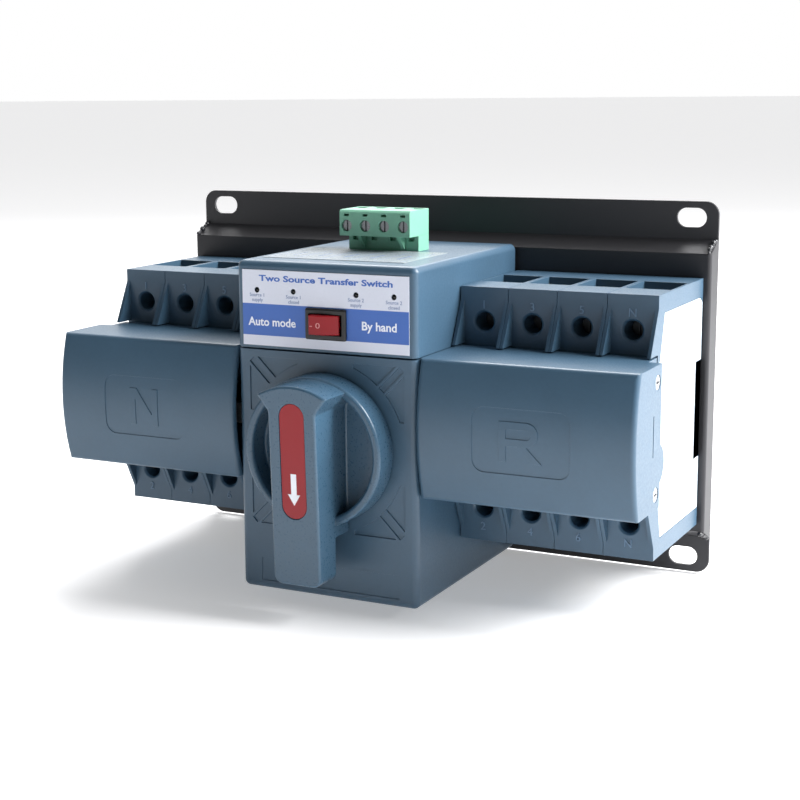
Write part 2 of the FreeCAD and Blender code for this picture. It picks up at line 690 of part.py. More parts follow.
def make_shaft():
    """The shaft, its crank disc and its switch cam."""
    shaft = rod("shaft_bar", s.shaft_radius, s.shaft_front - s.shaft_back,
                (0.0, s.shaft_back, s.handle_z))
    well = rod("shaft_well", s.handle_screw, 9.0, (0.0, s.shaft_front - 8.0, s.handle_z))
    node("handle_shaft", cut("handle_shaft", shaft, well))
    disc = rod("crank_plate", s.crank_arm + s.crank_pin + s.crank_rim, s.crank_thick,
               (0.0, s.crank_d, s.handle_z))
    hub_d = s.gear_d + s.gear_thick + 3.5
    hub = rod("crank_hub", s.shaft_radius + s.crank_hub_wall, s.crank_d - hub_d,
              (0.0, hub_d, s.handle_z))
    pins = [rod(f"crank_pin_{name}", s.crank_pin, s.yoke_d + s.yoke_thick + 1.0 - s.crank_d,
                (s.crank_arm * side, s.crank_d, s.handle_z))
            for name, side in (("left", -1), ("right", 1))]
    bore = rod("crank_bore", s.shaft_radius, 60.0, (0.0, s.crank_d - 30.0, s.handle_z))
    node("crank_disc", cut("crank_disc", fuse("crank_blank", [disc, hub] + pins), bore))
    round_half = s.cam_radius + OVER
    lobe = rod("cam_lobe", s.cam_radius, s.cam_thick, (0.0, s.cam_d, s.handle_z))
    flat = box("cam_flat", (-round_half, round_half),
               (s.cam_d - OVER, s.cam_d + s.cam_thick + OVER),
               (s.handle_z + s.cam_flat, s.handle_z + round_half))
    bore = rod("cam_bore", s.shaft_radius, s.cam_thick + OVER * 2,
               (0.0, s.cam_d - OVER, s.handle_z))
    node("switch_cam", cut("switch_cam", lobe, flat, bore))


def make_limit_switches():
    """The two small switches that tell the circuit where the shaft stands."""
    switches = []
    for name, side in (("left", -1), ("right", 1)):
        near_x, far_x = s.limit_near * side, (s.limit_near + s.limit_width) * side
        low, high = (far_x, near_x) if side < 0 else (near_x, far_x)
        case = box(f"limit_case_{name}", (low, high), (s.limit_back, s.mid_plate_d),
                   (s.handle_z - s.limit_half_height, s.handle_z + s.limit_half_height))
        start = near_x - 1.2 if side > 0 else near_x
        plunger = box(f"limit_plunger_{name}", (start, start + 1.2),
                      (s.cam_d + 1.0, s.cam_d + s.cam_thick - 1.0),
                      (s.handle_z - 1.5, s.handle_z + 1.5))
        switches.append(fuse(f"limit_switch_{name}", [case, plunger]))
    node("limit_switches", group("limit_switches", switches))


# ---------------------------------------------------------------------- handle

def slope_span():
    """The heights between which the front of the handle bar falls."""
    return s.handle_z + s.ring_radius + 2.0, POINTER_END - 2.0


def slope_tool(name, lift):
    """A wedge of space in front of the sloping face of the handle bar."""
    body = new_body(name)
    top, end = slope_span()
    far = -(s.bar_front + 30.0)
    sketch = outline(sketch_on(body, name + "_side", "YZ_Plane", -40.0),
                     [(far, top), (-(s.bar_front + lift), top),
                      (-(s.bar_front - s.bar_fall + lift), end), (far, end)])
    pad(body, sketch, 80.0)
    return body


def stadium(sketch, half_width, top, end):
    """An upright rounded slot outline about x = 0."""
    high, low = top - half_width, end + half_width
    return outline(sketch, [(-half_width, high), (-half_width, low),
                            (half_width, low), (half_width, high)],
                   {1: (half_width, (0.0, low + 0.4)), 3: (half_width, (0.0, high - 0.4))})


def make_handle():
    """The rotary handle: a ring with a bar across it that runs on as a pointer."""
    zc, back = s.handle_z, s.handle_back
    body = new_body("handle_body")
    disc = circle(sketch_on(body, "handle_disc", "XZ_Plane", back), (0.0, zc), s.ring_radius)
    pad(body, disc, s.disc_thick)
    ring = sketch_on(body, "handle_ring", "XZ_Plane", back + s.disc_thick)
    circle(ring, (0.0, zc), s.ring_radius)
    circle(ring, (0.0, zc), s.ring_radius - s.ring_wall)
    pad(body, ring, s.ring_front - back - s.disc_thick)
    round_edges(body, s.ring_round, lambda p, t: near(-p.y, s.ring_front))

    half, wide, cap = s.bar_half_width, s.cap_half_width, s.ring_radius - s.cap_inset
    corner_z = zc + root(cap * cap - wide * wide)
    bar = sketch_on(body, "handle_bar", "XZ_Plane", back + s.disc_thick)
    outline(bar, [(-half, POINTER_END), (half, POINTER_END),
                  (half, corner_z - s.cap_drop), (wide, corner_z), (-wide, corner_z),
                  (-half, corner_z - s.cap_drop)],
            {3: (cap, (0.0, zc))})
    pad(body, bar, s.bar_front - back - s.disc_thick)
    neck = sketch_on(body, "handle_neck", "XZ_Plane", back)
    rectangle(neck, (-half, half), (zc - s.neck_reach, zc - s.ring_radius + 5.0))
    pad(body, neck, s.pointer_back - back)
    under = sketch_on(body, "handle_under", "XZ_Plane", s.pointer_back)
    rectangle(under, (-half - OVER, half + OVER), (POINTER_END - OVER, zc - s.neck_reach))
    pocket(body, under, 20.0)
    tip = POINTER_END
    round_edges(body, s.pointer_round, lambda p, t: abs(t.y) > 0.9 and near(p.z, tip)
                and near(abs(p.x), half))
    round_edges(body, s.fillet_radius, lambda p, t: abs(t.y) > 0.9 and near(abs(p.x), half)
                and near(p.z, corner_z - s.cap_drop) and -p.y > s.ring_front.value + 1.0)
    bore = circle(sketch_on(body, "handle_bore", "XZ_Plane", s.shaft_front), (0.0, zc),
                  s.shaft_radius)
    pocket(body, bore, s.shaft_front - s.handle_back + OVER)
    hole = circle(sketch_on(body, "handle_hole", "XZ_Plane", s.bar_front + OVER), (0.0, zc),
                  s.handle_screw + 0.15)
    pocket(body, hole, s.bar_front - s.shaft_front + OVER * 2)
    inlay_top, inlay_end = zc + s.inlay_rise, zc - s.inlay_reach
    inlay = sketch_on(body, "inlay_recess", "XZ_Plane", s.bar_front + OVER)
    stadium(inlay, s.inlay_half_width, inlay_top, inlay_end)
    pocket(body, inlay, s.bar_front + OVER - s.inlay_floor)
    seat = circle(sketch_on(body, "screw_seat", "XZ_Plane", s.inlay_floor), (0.0, zc),
                  s.handle_screw_head + 0.2)
    pocket(body, seat, HANDLE_SCREW_SINK)

    sloped = cut("handle_sloped", body, slope_tool("handle_slope", 0.0))
    doc.recompute()
    rounded = doc.addObject("Part::Fillet", "handle_grip")
    rounded.Base = sloped

    top, end = (level.value for level in slope_span())

    def front_rim(p, _):
        fall = s.bar_fall.value * (top - p.z) / (top - end)
        on_slope = near(-p.y, s.bar_front.value - fall, 0.3)
        outside = abs(p.x) > s.inlay_half_width.value + 1 or p.z > inlay_top.value + 1 \
            or p.z < inlay_end.value - 1
        return on_slope and outside

    rim = [int(name[4:]) for name in edges_where(sloped.Shape, front_rim)]
    rounded.Edges = [(number, s.bar_round.value, s.bar_round.value) for number in rim]
    node("handle_grip", rounded)

    plug = new_body("inlay_blank")
    shape = sketch_on(plug, "inlay_shape", "XZ_Plane", s.inlay_floor)
    stadium(shape, s.inlay_half_width - s.inlay_gap, inlay_top - s.inlay_gap,
            inlay_end + s.inlay_gap)
    pad(plug, shape, s.bar_front - s.inlay_floor + OVER)
    node("handle_inlay", cut("handle_inlay", plug,
                             slope_tool("inlay_slope", -s.inlay_sink)))
    node("handle_screw", screw("handle_screw", (0.0, s.inlay_floor - HANDLE_SCREW_SINK, zc),
                               s.handle_screw, s.handle_screw_head, 7.0,
                               HANDLE_SCREW_SINK - 0.2))


# ------------------------------------------------------------------- housings

def make_housing(name, low, high, open_low):
    """Half of the mechanism box: a shell open at the back and towards the other half."""
    half = s.box_width / 2
    body = new_body(name + "_shell")
    front = rectangle(sketch_on(body, name + "_front", "XZ_Plane", s.box_back),
                      (-half, half), (low, high))
    pad(body, front, s.box_front - s.box_back)
    closed = high if open_low else low
    round_edges(body, s.box_round, lambda p, t: (abs(t.y) > 0.9 and near(p.z, closed))
                or (near(-p.y, s.box_front) and (abs(t.z) > 0.9 or near(p.z, closed))))
    inside = (low - OVER, high - s.box_wall) if open_low else (low + s.box_wall, high + OVER)
    hollow = rectangle(sketch_on(body, name + "_hollow", "XZ_Plane", s.box_front - s.box_wall),
                       (s.box_wall - half, half - s.box_wall), inside)
    pocket(body, hollow, s.box_front)
    return body


def corner_recesses(body):
    """Shallow pockets in the corners around the handle: a diagonal strip between two webs."""
    sketch = sketch_on(body, "corner_recesses", "XZ_Plane", s.box_front + OVER)
    square, tip = s.box_width / 2 - s.recess_margin, s.recess_tip
    ring = square + s.recess_bow
    edge = s.recess_strip / 2 + s.recess_rib
    reach = root(ring * ring - edge * edge)
    along, across = (reach + edge) / math.sqrt(2), (reach - edge) / math.sqrt(2)
    web = [(tip, square), (square - edge * math.sqrt(2), square), (across, along),
           (tip, root(ring * ring - tip * tip))]
    half = s.recess_strip / math.sqrt(8)
    near_end, far_end = ring / math.sqrt(2), square - half
    strip = [(near_end - half, near_end + half), (far_end - half, far_end + half),
             (far_end + half, far_end - half), (near_end + half, near_end - half)]
    for sx in (-1, 1):
        for sz in (-1, 1):
            outline(sketch, [(x * sx, s.handle_z + z * sz) for x, z in strip])
            outline(sketch, [(x * sx, s.handle_z + z * sz) for x, z in web],
                    {2: (ring, (0.0, s.handle_z))})
            outline(sketch, [(z * sx, s.handle_z + x * sz) for x, z in web],
                    {2: (ring, (0.0, s.handle_z))})
    pocket(body, sketch, s.recess_depth + OVER)


def make_lower_housing():
    """The lower half, with the windows for the two yokes and the hole for the shaft."""
    top = s.box_split - s.seam / 2
    body = make_housing("lower_housing", s.box_bottom, top, False)
    half = s.box_width / 2
    bore = circle(sketch_on(body, "lower_shaft_hole", "XZ_Plane", s.box_front + OVER),
                  (0.0, s.handle_z), s.shaft_radius + s.shaft_hole_gap)
    pocket(body, bore, s.box_wall + OVER * 2)
    corner_recesses(body)
    plaque = rectangle(sketch_on(body, "plaque", "XZ_Plane", s.box_front + OVER),
                       (s.plaque_left, s.plaque_right), (s.plaque_bottom, s.plaque_top))
    pocket(body, plaque, s.plaque_depth + OVER)
    travel = s.arm_half_height + s.yoke_stroke + s.arm_play
    window = box("yoke_windows", (-half - OVER, half + OVER),
                 (s.arm_d - s.arm_play, s.box_front - s.box_wall),
                 (s.pole_middle_z - travel, s.pole_middle_z + travel))
    inner = half - s.box_wall - s.lip_play
    core = inner - s.lip_thick
    lip_z = (top - s.lip_foot, top + s.lip_high)
    back_d, front_d = s.box_back + 4.0, s.box_front - s.box_wall - s.lip_play
    hole = box("lip_inner", (-core, core), (back_d - OVER, front_d - s.lip_thick),
               (lip_z[0] - OVER, lip_z[1] + OVER))
    lip = cut("lower_lip", box("lip_outer", (-inner, inner), (back_d, front_d), lip_z), hole)
    ledge_half = half - s.box_wall / 2
    ledge = box("lip_ledge_blank", (-ledge_half, ledge_half),
                (back_d, s.box_front - s.box_wall / 2),
                (lip_z[0], lip_z[0] + s.lip_foot / 2))
    whole = fuse("lower_with_lip", [body, lip, cut("lip_ledge", ledge, hole)])
    node("lower_housing", cut("lower_housing", whole, window))


def rocker_opening():
    """The opening for the rocker's case through the housing and the label, in X and Z."""
    wide, tall = s.rocker_case / 2 + s.snap_gap, s.rocker_case_high / 2 + s.snap_gap
    return (s.rocker_x - wide, s.rocker_x + wide), (s.rocker_z - tall, s.rocker_z + tall)


def make_upper_housing():
    """The upper half, with holes for the lamps, the rocker and the terminal pins."""
    low = s.box_split + s.seam / 2
    body = make_housing("upper_housing", low, s.box_top, True)
    front = sketch_on(body, "upper_front_holes", "XZ_Plane", s.box_front + OVER)
    for x in LED_X:
        circle(front, (x, s.led_z), s.led_radius + s.led_gap)
    rectangle(front, *rocker_opening())
    pocket(body, front, s.box_wall + OVER * 2)
    slot = sketch_on(body, "upper_pin_slot", "XY_Plane", s.box_top + OVER)
    half = s.plug_pitch * 1.5 + s.pin_width
    pin = s.plug_back + s.pin_back
    rectangle(slot, (s.plug_x - half, s.plug_x + half), (-pin - s.pin_width * 2, s.pin_width - pin))
    pocket(body, slot, s.box_wall + OVER * 2)
    node("upper_housing", body)


# ------------------------------------------------------------------- controls

def make_labels():
    """The printed sheets on the front and on the top of the box."""
    half = s.box_width / 2 - s.label_inset
    sheet_box = box("front_sheet", (-half, half), (s.box_front, s.box_front + s.label_thick),
                    (s.label_bottom, s.label_top))
    through = (s.box_front - OVER, s.box_front + OVER)
    holes = [rod(f"front_sheet_hole_{n}", s.led_radius, OVER * 2, (x, through[0], s.led_z))
             for n, x in enumerate(LED_X)]
    x, z = rocker_opening()
    window = box("front_sheet_window", x, through, z)
    node("front_label", cut("front_label", sheet_box, window, *holes))
    node("wiring_label", box("wiring_label", (s.top_label_left, s.top_label_right),
                             (s.top_label_back, s.top_label_front),
                             (s.box_top, s.box_top + s.label_thick / 2)))


def make_board():
    """The control board behind the front, with its lamps and relays."""
    half = s.box_width / 2 - s.box_wall - s.board_side_gap
    front = s.board_d + s.board_thick
    board = box("board_blank", (-half, half), (s.board_d, front),
                (s.board_bottom, s.board_top))
    x, z = rocker_opening()
    gap = box("board_gap", (x[0] - 0.3, x[1] + 0.3), (s.board_d - OVER, front + OVER),
              (s.board_bottom - OVER, z[1] + 0.6))
    node("control_board", cut("control_board", board, gap))
    lamps = []
    for number, x in enumerate(LED_X):
        stem = rod(f"lamp_stem_{number}", s.led_radius, s.box_front - front - s.led_recess,
                   (x, front, s.led_z))
        dome = ball(f"lamp_dome_{number}", s.led_radius,
                    (x, s.box_front - s.led_recess, s.led_z))
        lamps.append(fuse(f"lamp_{number}", [stem, dome]))
    node("indicator_lamps", group("indicator_lamps", lamps))
    relays = [box(f"relay_{name}", x, (s.board_d - s.relay_deep, s.board_d), (27.5, 43.0))
              for name, x in (("left", (-29.0, -10.0)), ("right", (11.0, 30.0)))]
    node("control_relays", group("control_relays", relays))
    pillars = [rod(f"board_pillar_{n}", 2.2, s.box_front - s.box_wall - front,
                   (x, front, z)) for n, (x, z) in enumerate(
                       ((-20.0, 30.0), (20.5, 30.0), (-19.5, 46.5), (19.5, 46.5)))]
    node("board_pillars", group("board_pillars", pillars))


def make_rocker():
    """The automatic/manual rocker switch in its snap-in frame."""
    cx, cz, front = s.rocker_x, s.rocker_z, s.bezel_front
    wide, tall = s.bezel_width / 2, s.bezel_height / 2
    frame = new_body("rocker_frame_body")
    rim = rectangle(sketch_on(frame, "bezel_rim", "XZ_Plane", s.box_front + s.label_thick),
                    (cx - wide, cx + wide), (cz - tall, cz + tall))
    pad(frame, rim, front - s.box_front - s.label_thick)
    round_edges(frame, s.bezel_round, lambda p, t: near(-p.y, front) or abs(t.y) > 0.9)
    case_x, case_z = s.rocker_case / 2, s.rocker_case_high / 2
    case = rectangle(sketch_on(frame, "rocker_case", "XZ_Plane", s.rocker_case_back),
                     (cx - case_x, cx + case_x), (cz - case_z, cz + case_z))
    pad(frame, case, s.box_front + s.label_thick - s.rocker_case_back + 0.2)
    well_x, well_z = s.rocker_well / 2, s.rocker_well_high / 2
    well = rectangle(sketch_on(frame, "rocker_well", "XZ_Plane", front + OVER),
                     (cx - well_x, cx + well_x), (cz - well_z, cz + well_z))
    pocket(frame, well, front + OVER - s.rocker_pivot_d + 10.0)
    node("rocker_frame", frame)

    pivot, half = s.rocker_pivot_d, s.rocker_half_width
    flat = front + s.rocker_proud
    steep = Size(math.tan(math.radians(2 * s.rocker_half_throw.value)),
                 "tan(2 * sizes.rocker_half_throw)")
    button = new_body("rocker_button_body")
    side = sketch_on(button, "rocker_side", "XY_Plane", cz - s.rocker_half_height)
    outline(side, [(cx - 2.5, 6.0 - pivot), (cx + 2.5, 6.0 - pivot), (cx + half, 0.5 - pivot),
                   (cx + half, half * steep - flat), (cx, -flat), (cx - half, -flat),
                   (cx - half, 0.5 - pivot)])
    pad(button, side, s.rocker_half_height * 2)
    ends = (cx.value - half.value, cx.value + half.value)
    low = (flat - half * steep).value - 0.05
    round_edges(button, 0.4, lambda p, t: -p.y > low and (
        abs(t.x) > 0.5 or abs(t.z) > 0.5 and (near(p.x, ends[0]) or near(p.x, ends[1]))))
    node("rocker_button", button)


def pin_boxes(name, centres, grow, z):
    """A square bar on each of the terminal's pins, grown by a gap all round."""
    half, back = s.pin_width / 2 + grow, s.plug_back + s.pin_back
    return [box(f"{name}_{n}", (x - half, x + half),
                (back - grow, back + s.pin_width + grow), z) for n, x in enumerate(centres)]


def make_terminal():
    """The pluggable terminal on top: board, header, pins, plug and clamp screws."""
    half = s.plug_width / 2
    left, right = s.plug_x - half, s.plug_x + half
    seam, wall = s.plug_bottom, s.header_wall
    centres = [s.plug_x + s.plug_pitch * step for step in (-1.5, -0.5, 0.5, 1.5)]
    under = (s.box_top - s.box_wall - s.board_thick, s.box_top - s.box_wall)
    board = box("terminal_board_blank", (left - 1.5, right + 1.5),
                (s.plug_back - 3.0, s.header_front + 5.0), under)
    node("terminal_board", cut("terminal_board", board, *pin_boxes(
        "board_drill", centres, 0.0, (under[0] - OVER, under[1] + OVER))))
    header = box("header_blank", (left, right), (s.plug_back, s.header_front),
                 (s.box_top, seam))
    well = box("header_well", (left + wall, right - wall),
               (s.plug_back + wall, s.header_front - wall), (s.box_top + wall, seam + OVER))
    gaps = [box(f"header_gap_{n}", (x - 1.1, x + 1.1),
                (s.header_front - wall - 0.6, s.header_front + OVER), (seam - 2.1, seam + OVER))
            for n, x in enumerate(centres)]
    drills = pin_boxes("header_drill", centres, 0.0, (s.box_top - OVER, s.box_top + wall * 2))
    node("terminal_header", cut("terminal_header", header, well, *gaps, *drills))
    node("header_pins", group("header_pins", pin_boxes(
        "header_pin", centres, 0.0, (under[0], seam - 1.1))))

    body = new_body("plug_body")
    bevel, top = s.plug_bevel, s.plug_top
    side = outline(sketch_on(body, "plug_side", "YZ_Plane", left),
                   [(-s.plug_back, seam), (-s.plug_front, seam), (-s.plug_front, top - bevel),
                    (bevel - s.plug_front, top), (-s.plug_back, top)])
    pad(body, side, s.plug_width)
    fit = wall + 0.3
    tongue = sketch_on(body, "plug_tongue", "XY_Plane", s.box_top + wall + 0.2)
    rectangle(tongue, (left + fit, right - fit), (fit - s.header_front, -s.plug_back - fit))
    pad(body, tongue, seam - s.box_top - OVER)
    screw_z = seam + s.plug_screw_rise
    bores = sketch_on(body, "plug_bores", "XZ_Plane", s.plug_front + OVER)
    for x in centres:
        circle(bores, (x, screw_z), s.plug_bore)
        rectangle(bores, (x - 1.0, x + 1.0), (top - 2.3, top - 1.5))
    pocket(body, bores, 8.0)
    wire = s.wire_hole / 2
    entries = sketch_on(body, "plug_entries", "XY_Plane", top + OVER)
    for x in centres:
        rectangle(entries, (x - wire, x + wire),
                  (-s.plug_back - 1.6 - s.wire_hole, -s.plug_back - 1.6))
    pocket(body, entries, top - seam)
    sockets = sketch_on(body, "plug_sockets", "XY_Plane", s.box_top + 6.2)
    reach = s.pin_width / 2 + s.socket_gap
    pin_d = s.plug_back + s.pin_back + s.pin_width / 2
    for x in centres:
        rectangle(sockets, (x - reach, x + reach), (-pin_d - reach, reach - pin_d))
    pocket(body, sockets, 6.0)
    fin_back = s.header_front + 0.3
    for name, x in (("left", s.plug_x - s.plug_pitch - 0.7), ("right", s.plug_x + s.plug_pitch)):
        fin = sketch_on(body, f"plug_fin_{name}", "YZ_Plane", x)
        outline(fin, [(-fin_back, seam + 0.5), (-fin_back - 4.9, seam + 0.5),
                      (-fin_back - 4.9, seam), (-fin_back - 0.6, s.box_top + 0.7),
                      (-fin_back, s.box_top + 0.7)])
        pad(body, fin, 1.4)
    node("terminal_plug", body)
    screws = [screw(f"plug_screw_{n}", (x, s.plug_front - 2.2, screw_z), 1.3,
                    s.plug_bore - 0.1, 4.6, 1.2) for n, x in enumerate(centres)]
    node("plug_screws", group("plug_screws", screws))


# ------------------------------------------------------------------- breakers

def nose_span():
    """The bottom and the top of a pole's nose, which fits inside the cover."""
    return (s.cover_bottom + s.cover_wall + s.nose_gap,
            s.cover_top - s.cover_wall - s.nose_gap)


def rail_notch():
    """The front of the rail notch in a breaker's back and its upper and lower lips."""
    reach = s.rail_height / 2 + s.rail_clearance
    return (s.plate_rise + s.rail_depth + s.rail_seat, s.rail_middle_z + reach,
            s.rail_middle_z - reach)


def pole_outline():
    """The side of one breaker pole, with the rail notch in its back."""
    mid, half, back = s.pole_middle_z, s.pole_half_height, s.pole_back
    nose_low, nose_high = nose_span()
    notch, top_lip, low_lip = rail_notch()
    shoulder, low_shoulder = mid + half - s.fin_inset, mid - half + s.fin_inset
    fin_end, bottom_fin = shoulder - s.fin_height, low_shoulder + s.fin_height
    bevel = s.nose_bevel
    return [(-back, mid + half), (-s.pole_face, mid + half), (-s.pole_face, shoulder),
            (-s.fin_tip, fin_end), (-s.pole_face, fin_end), (-s.pole_face, nose_high),
            (bevel - s.nose_front, nose_high), (-s.nose_front, nose_high - bevel),
            (-s.nose_front, nose_low + bevel), (bevel - s.nose_front, nose_low),
            (-s.pole_face, nose_low), (-s.pole_face, bottom_fin), (-s.fin_tip, bottom_fin),
            (-s.pole_face, low_shoulder), (-s.pole_face, mid - half), (-back, mid - half),
            (-back, low_lip), (-notch, low_lip), (-notch, top_lip), (-back, top_lip)]


def make_pole():
    """One breaker pole: terminals at top and bottom, a nose for the lever between them."""
    body = new_body("pole_case")
    mid, half = s.pole_middle_z, s.pole_half_height
    nose_low, nose_high = nose_span()
    centre = POLE_START + s.pole_pitch / 2
    width = s.pole_pitch - s.pole_gap
    side = outline(sketch_on(body, "pole_side", "YZ_Plane", POLE_START), pole_outline())
    pad(body, side, width)
    inner = width / 2 - s.fin_wall
    middle = POLE_START + width / 2
    between = sketch_on(body, "pole_between_fins", "XZ_Plane", s.fin_tip + OVER)
    rectangle(between, (middle - inner, middle + inner),
              (nose_high + s.nose_gap, mid + half + OVER))
    rectangle(between, (middle - inner, middle + inner),
              (mid - half - OVER, nose_low - s.nose_gap))
    pocket(body, between, s.fin_tip + OVER - s.pole_face)
    bores = sketch_on(body, "pole_screw_bores", "XZ_Plane", s.pole_face + OVER)
    for sign in (1, -1):
        circle(bores, (centre, mid + s.screw_height * sign), s.screw_bore)
    pocket(body, bores, s.pole_face - s.pocket_front + OVER * 2)
    bevel_edges(body, s.screw_rim, lambda p, t: near(-p.y, s.pole_face)
                and math.hypot(p.x - centre.value, abs(p.z - mid.value) - s.screw_height.value)
                < s.screw_bore.value + 0.2)
    wide = s.pole_pitch / 2 - s.pocket_wall
    for name, level in (("top", mid + half + OVER), ("bottom", mid - half + s.pocket_depth)):
        entry = sketch_on(body, f"pole_entry_{name}", "XY_Plane", level)
        rectangle(entry, (middle - wide, middle + wide), (-s.pocket_front, -s.pocket_back))
        pocket(body, entry, s.pocket_depth + OVER)
    chamber = sketch_on(body, "pole_chamber", "XZ_Plane", s.nose_front - s.nose_wall)
    rectangle(chamber, (middle - wide, middle + wide),
              (nose_low + s.chamber_wall, nose_high - s.chamber_wall))
    pocket(body, chamber, s.nose_front - s.nose_wall - s.chamber_back)
    slot = sketch_on(body, "pole_lever_slot", "XZ_Plane", s.nose_front + OVER)
    reach = s.lever_half_width + s.lever_play
    rectangle(slot, (middle - reach, middle + reach),
              (mid - s.lever_slot_half, mid + s.lever_slot_half))
    pocket(body, slot, s.nose_wall + OVER * 2)
    return body


def end_outline(grow):
    """The white end plate's outline on the outer side of a breaker, grown by a gap."""
    mid, edge = s.pole_middle_z, s.pole_half_height - s.end_plate_inset
    notch, top_lip, low_lip = rail_notch()
    nose_low, nose_high = nose_span()
    back = -s.pole_back - 0.4 + grow
    return [(back, mid + edge - 1.6 + grow), (-14.0, mid + edge + grow),
            (-(s.pole_face - 7.0) - grow, mid + edge + grow),
            (-(s.fin_tip - 10.5) - grow, nose_high),
            (-(s.nose_front - 3.5) - grow, nose_high - 4.0),
            (-(s.nose_front - 3.5) - grow, nose_low + 4.0),
            (-(s.fin_tip - 10.5) - grow, nose_low),
            (-(s.pole_face - 7.0) - grow, mid - edge - grow),
            (back, mid - edge - grow), (back, low_lip - 0.2), (-notch - 0.3, low_lip - 0.2),
            (-notch - 0.3, top_lip + 0.2), (back, top_lip + 0.2)]


def clip_span():
    """The left and right of a rail clip, and the level of the rail flange that it holds."""
    middle = POLE_START + s.pole_pitch * 2
    return (middle - s.clip_width / 2, middle + s.clip_width / 2,
            s.rail_middle_z - s.rail_height / 2)


def make_breakers():
    """Both four-pole breakers: eight poles and the two white end plates."""
    pole = make_pole()
    floor_x = POLE_END - s.pole_gap - s.end_plate_sink
    recess = new_body("end_recess")
    pad(recess, outline(sketch_on(recess, "end_recess_side", "YZ_Plane", floor_x),
                        end_outline(0.0)), s.end_plate_sink + OVER)
    plate = new_body("end_plate")
    pad(plate, outline(sketch_on(plate, "end_plate_side", "YZ_Plane", floor_x),
                       end_outline(-s.end_plate_gap)), s.end_plate_sink + 0.05)
    left, right, flange = clip_span()
    channel_x = (left - s.clip_gap, right + s.clip_gap)
    channel = fuse("clip_channel", [
        box("clip_channel_plate", channel_x,
            (s.pole_back - OVER, s.pole_back + s.clip_gap * 3 + s.clip_thick),
            (s.pole_middle_z - s.pole_half_height - OVER, s.rail_middle_z)),
        box("clip_channel_step", channel_x,
            (s.pole_back - OVER, s.plate_rise + s.rail_depth - s.rail_gauge),
            (flange - s.clip_stroke - s.clip_gap * 2, s.rail_middle_z))])
    for number in range(4):
        step = moved(f"pole_copy_{number + 1}", pole, s.pole_pitch * number)
        if number in (1, 2):
            step = cut(f"pole_with_channel_{number + 1}", step, channel)
        if number == 3:
            step = cut("pole_with_recess", step, recess)
        right = node(f"pole_right_{number + 1}", group(f"pole_right_{number + 1}", [step]))
        node(f"pole_left_{number + 1}", mirrored(f"pole_left_{number + 1}", right))
    node("end_plate_right", plate)
    node("end_plate_left", mirrored("end_plate_left", plate))


def both_sides(name, pieces):
    """A group of pieces of the right breaker with their mirror images."""
    right = group(name + "_right", pieces)
    return node(name, group(name, [right, mirrored(name + "_left", right)]))


def pole_centres():
    """X of the middle of each pole of the right breaker."""
    return [POLE_START + s.pole_pitch * number + (s.pole_pitch - s.pole_gap) / 2
            for number in range(4)]


def make_breaker_insides():
    """Clamps, clamp screws, coils and arc chutes of the eight poles."""
    mid, half = s.pole_middle_z, s.cage_half
    clamps, screws, coils, chutes, pivots = [], [], [], [], []
    wide = s.pole_pitch / 2 - s.pocket_wall
    for number, x in enumerate(pole_centres()):
        for name, sign in (("top", 1), ("bottom", -1)):
            z = mid + s.screw_height * sign
            back, front = s.pocket_back + OVER, s.pocket_front - 1.5
            cage = box(f"cage_{name}_{number}", (x - half, x + half), (back, front),
                       (z - s.cage_half_height, z + s.cage_half_height))
            hole = box(f"cage_hole_{name}_{number}",
                       (x - half + s.cage_wall, x + half - s.cage_wall),
                       (back + s.cage_wall, front - s.cage_wall - 0.4),
                       (z - half, z + half))
            tap = rod(f"cage_tap_{name}_{number}", s.clamp_screw + 0.05, 8.0,
                      (x, front - 4.5, z))
            clamps.append(cut(f"clamp_{name}_{number}", cage, hole, tap))
            screws.append(screw(f"clamp_screw_{name}_{number}", (x, s.pocket_front + 4.5, z),
                                s.clamp_screw, s.clamp_screw_head, 8.5, 2.2))
        coils.append(rod(f"coil_{number}", s.coil_radius, s.coil_long, (x, 43.5, mid - 17.5),
                         "up"))
        reach = half + 0.5
        back, front = s.chamber_back + 1.1, s.chamber_back + 15.5
        low = mid - 16.0
        plates = [box(f"chute_{number}_{n}", (x - reach, x + reach), (back + 0.9, front),
                      (low + s.chute_pitch * n, low + s.chute_plate + s.chute_pitch * n))
                  for n in range(int(s.chute_plates.value))]
        spine = box(f"chute_spine_{number}", (x - reach, x + reach), (back, back + 1.1),
                    (low - 1.0, mid + 5.5))
        chutes.append(fuse(f"chute_{number}", plates + [spine]))
        pivots.append(rod(f"pivot_{number}", s.pivot_radius, wide * 2,
                          (x - wide, s.lever_pivot_d, mid), "x"))
    both_sides("terminal_clamps", clamps)
    both_sides("terminal_screws", screws)
    both_sides("trip_coils", coils)
    both_sides("arc_chutes", chutes)
    both_sides("lever_pivots", pivots)


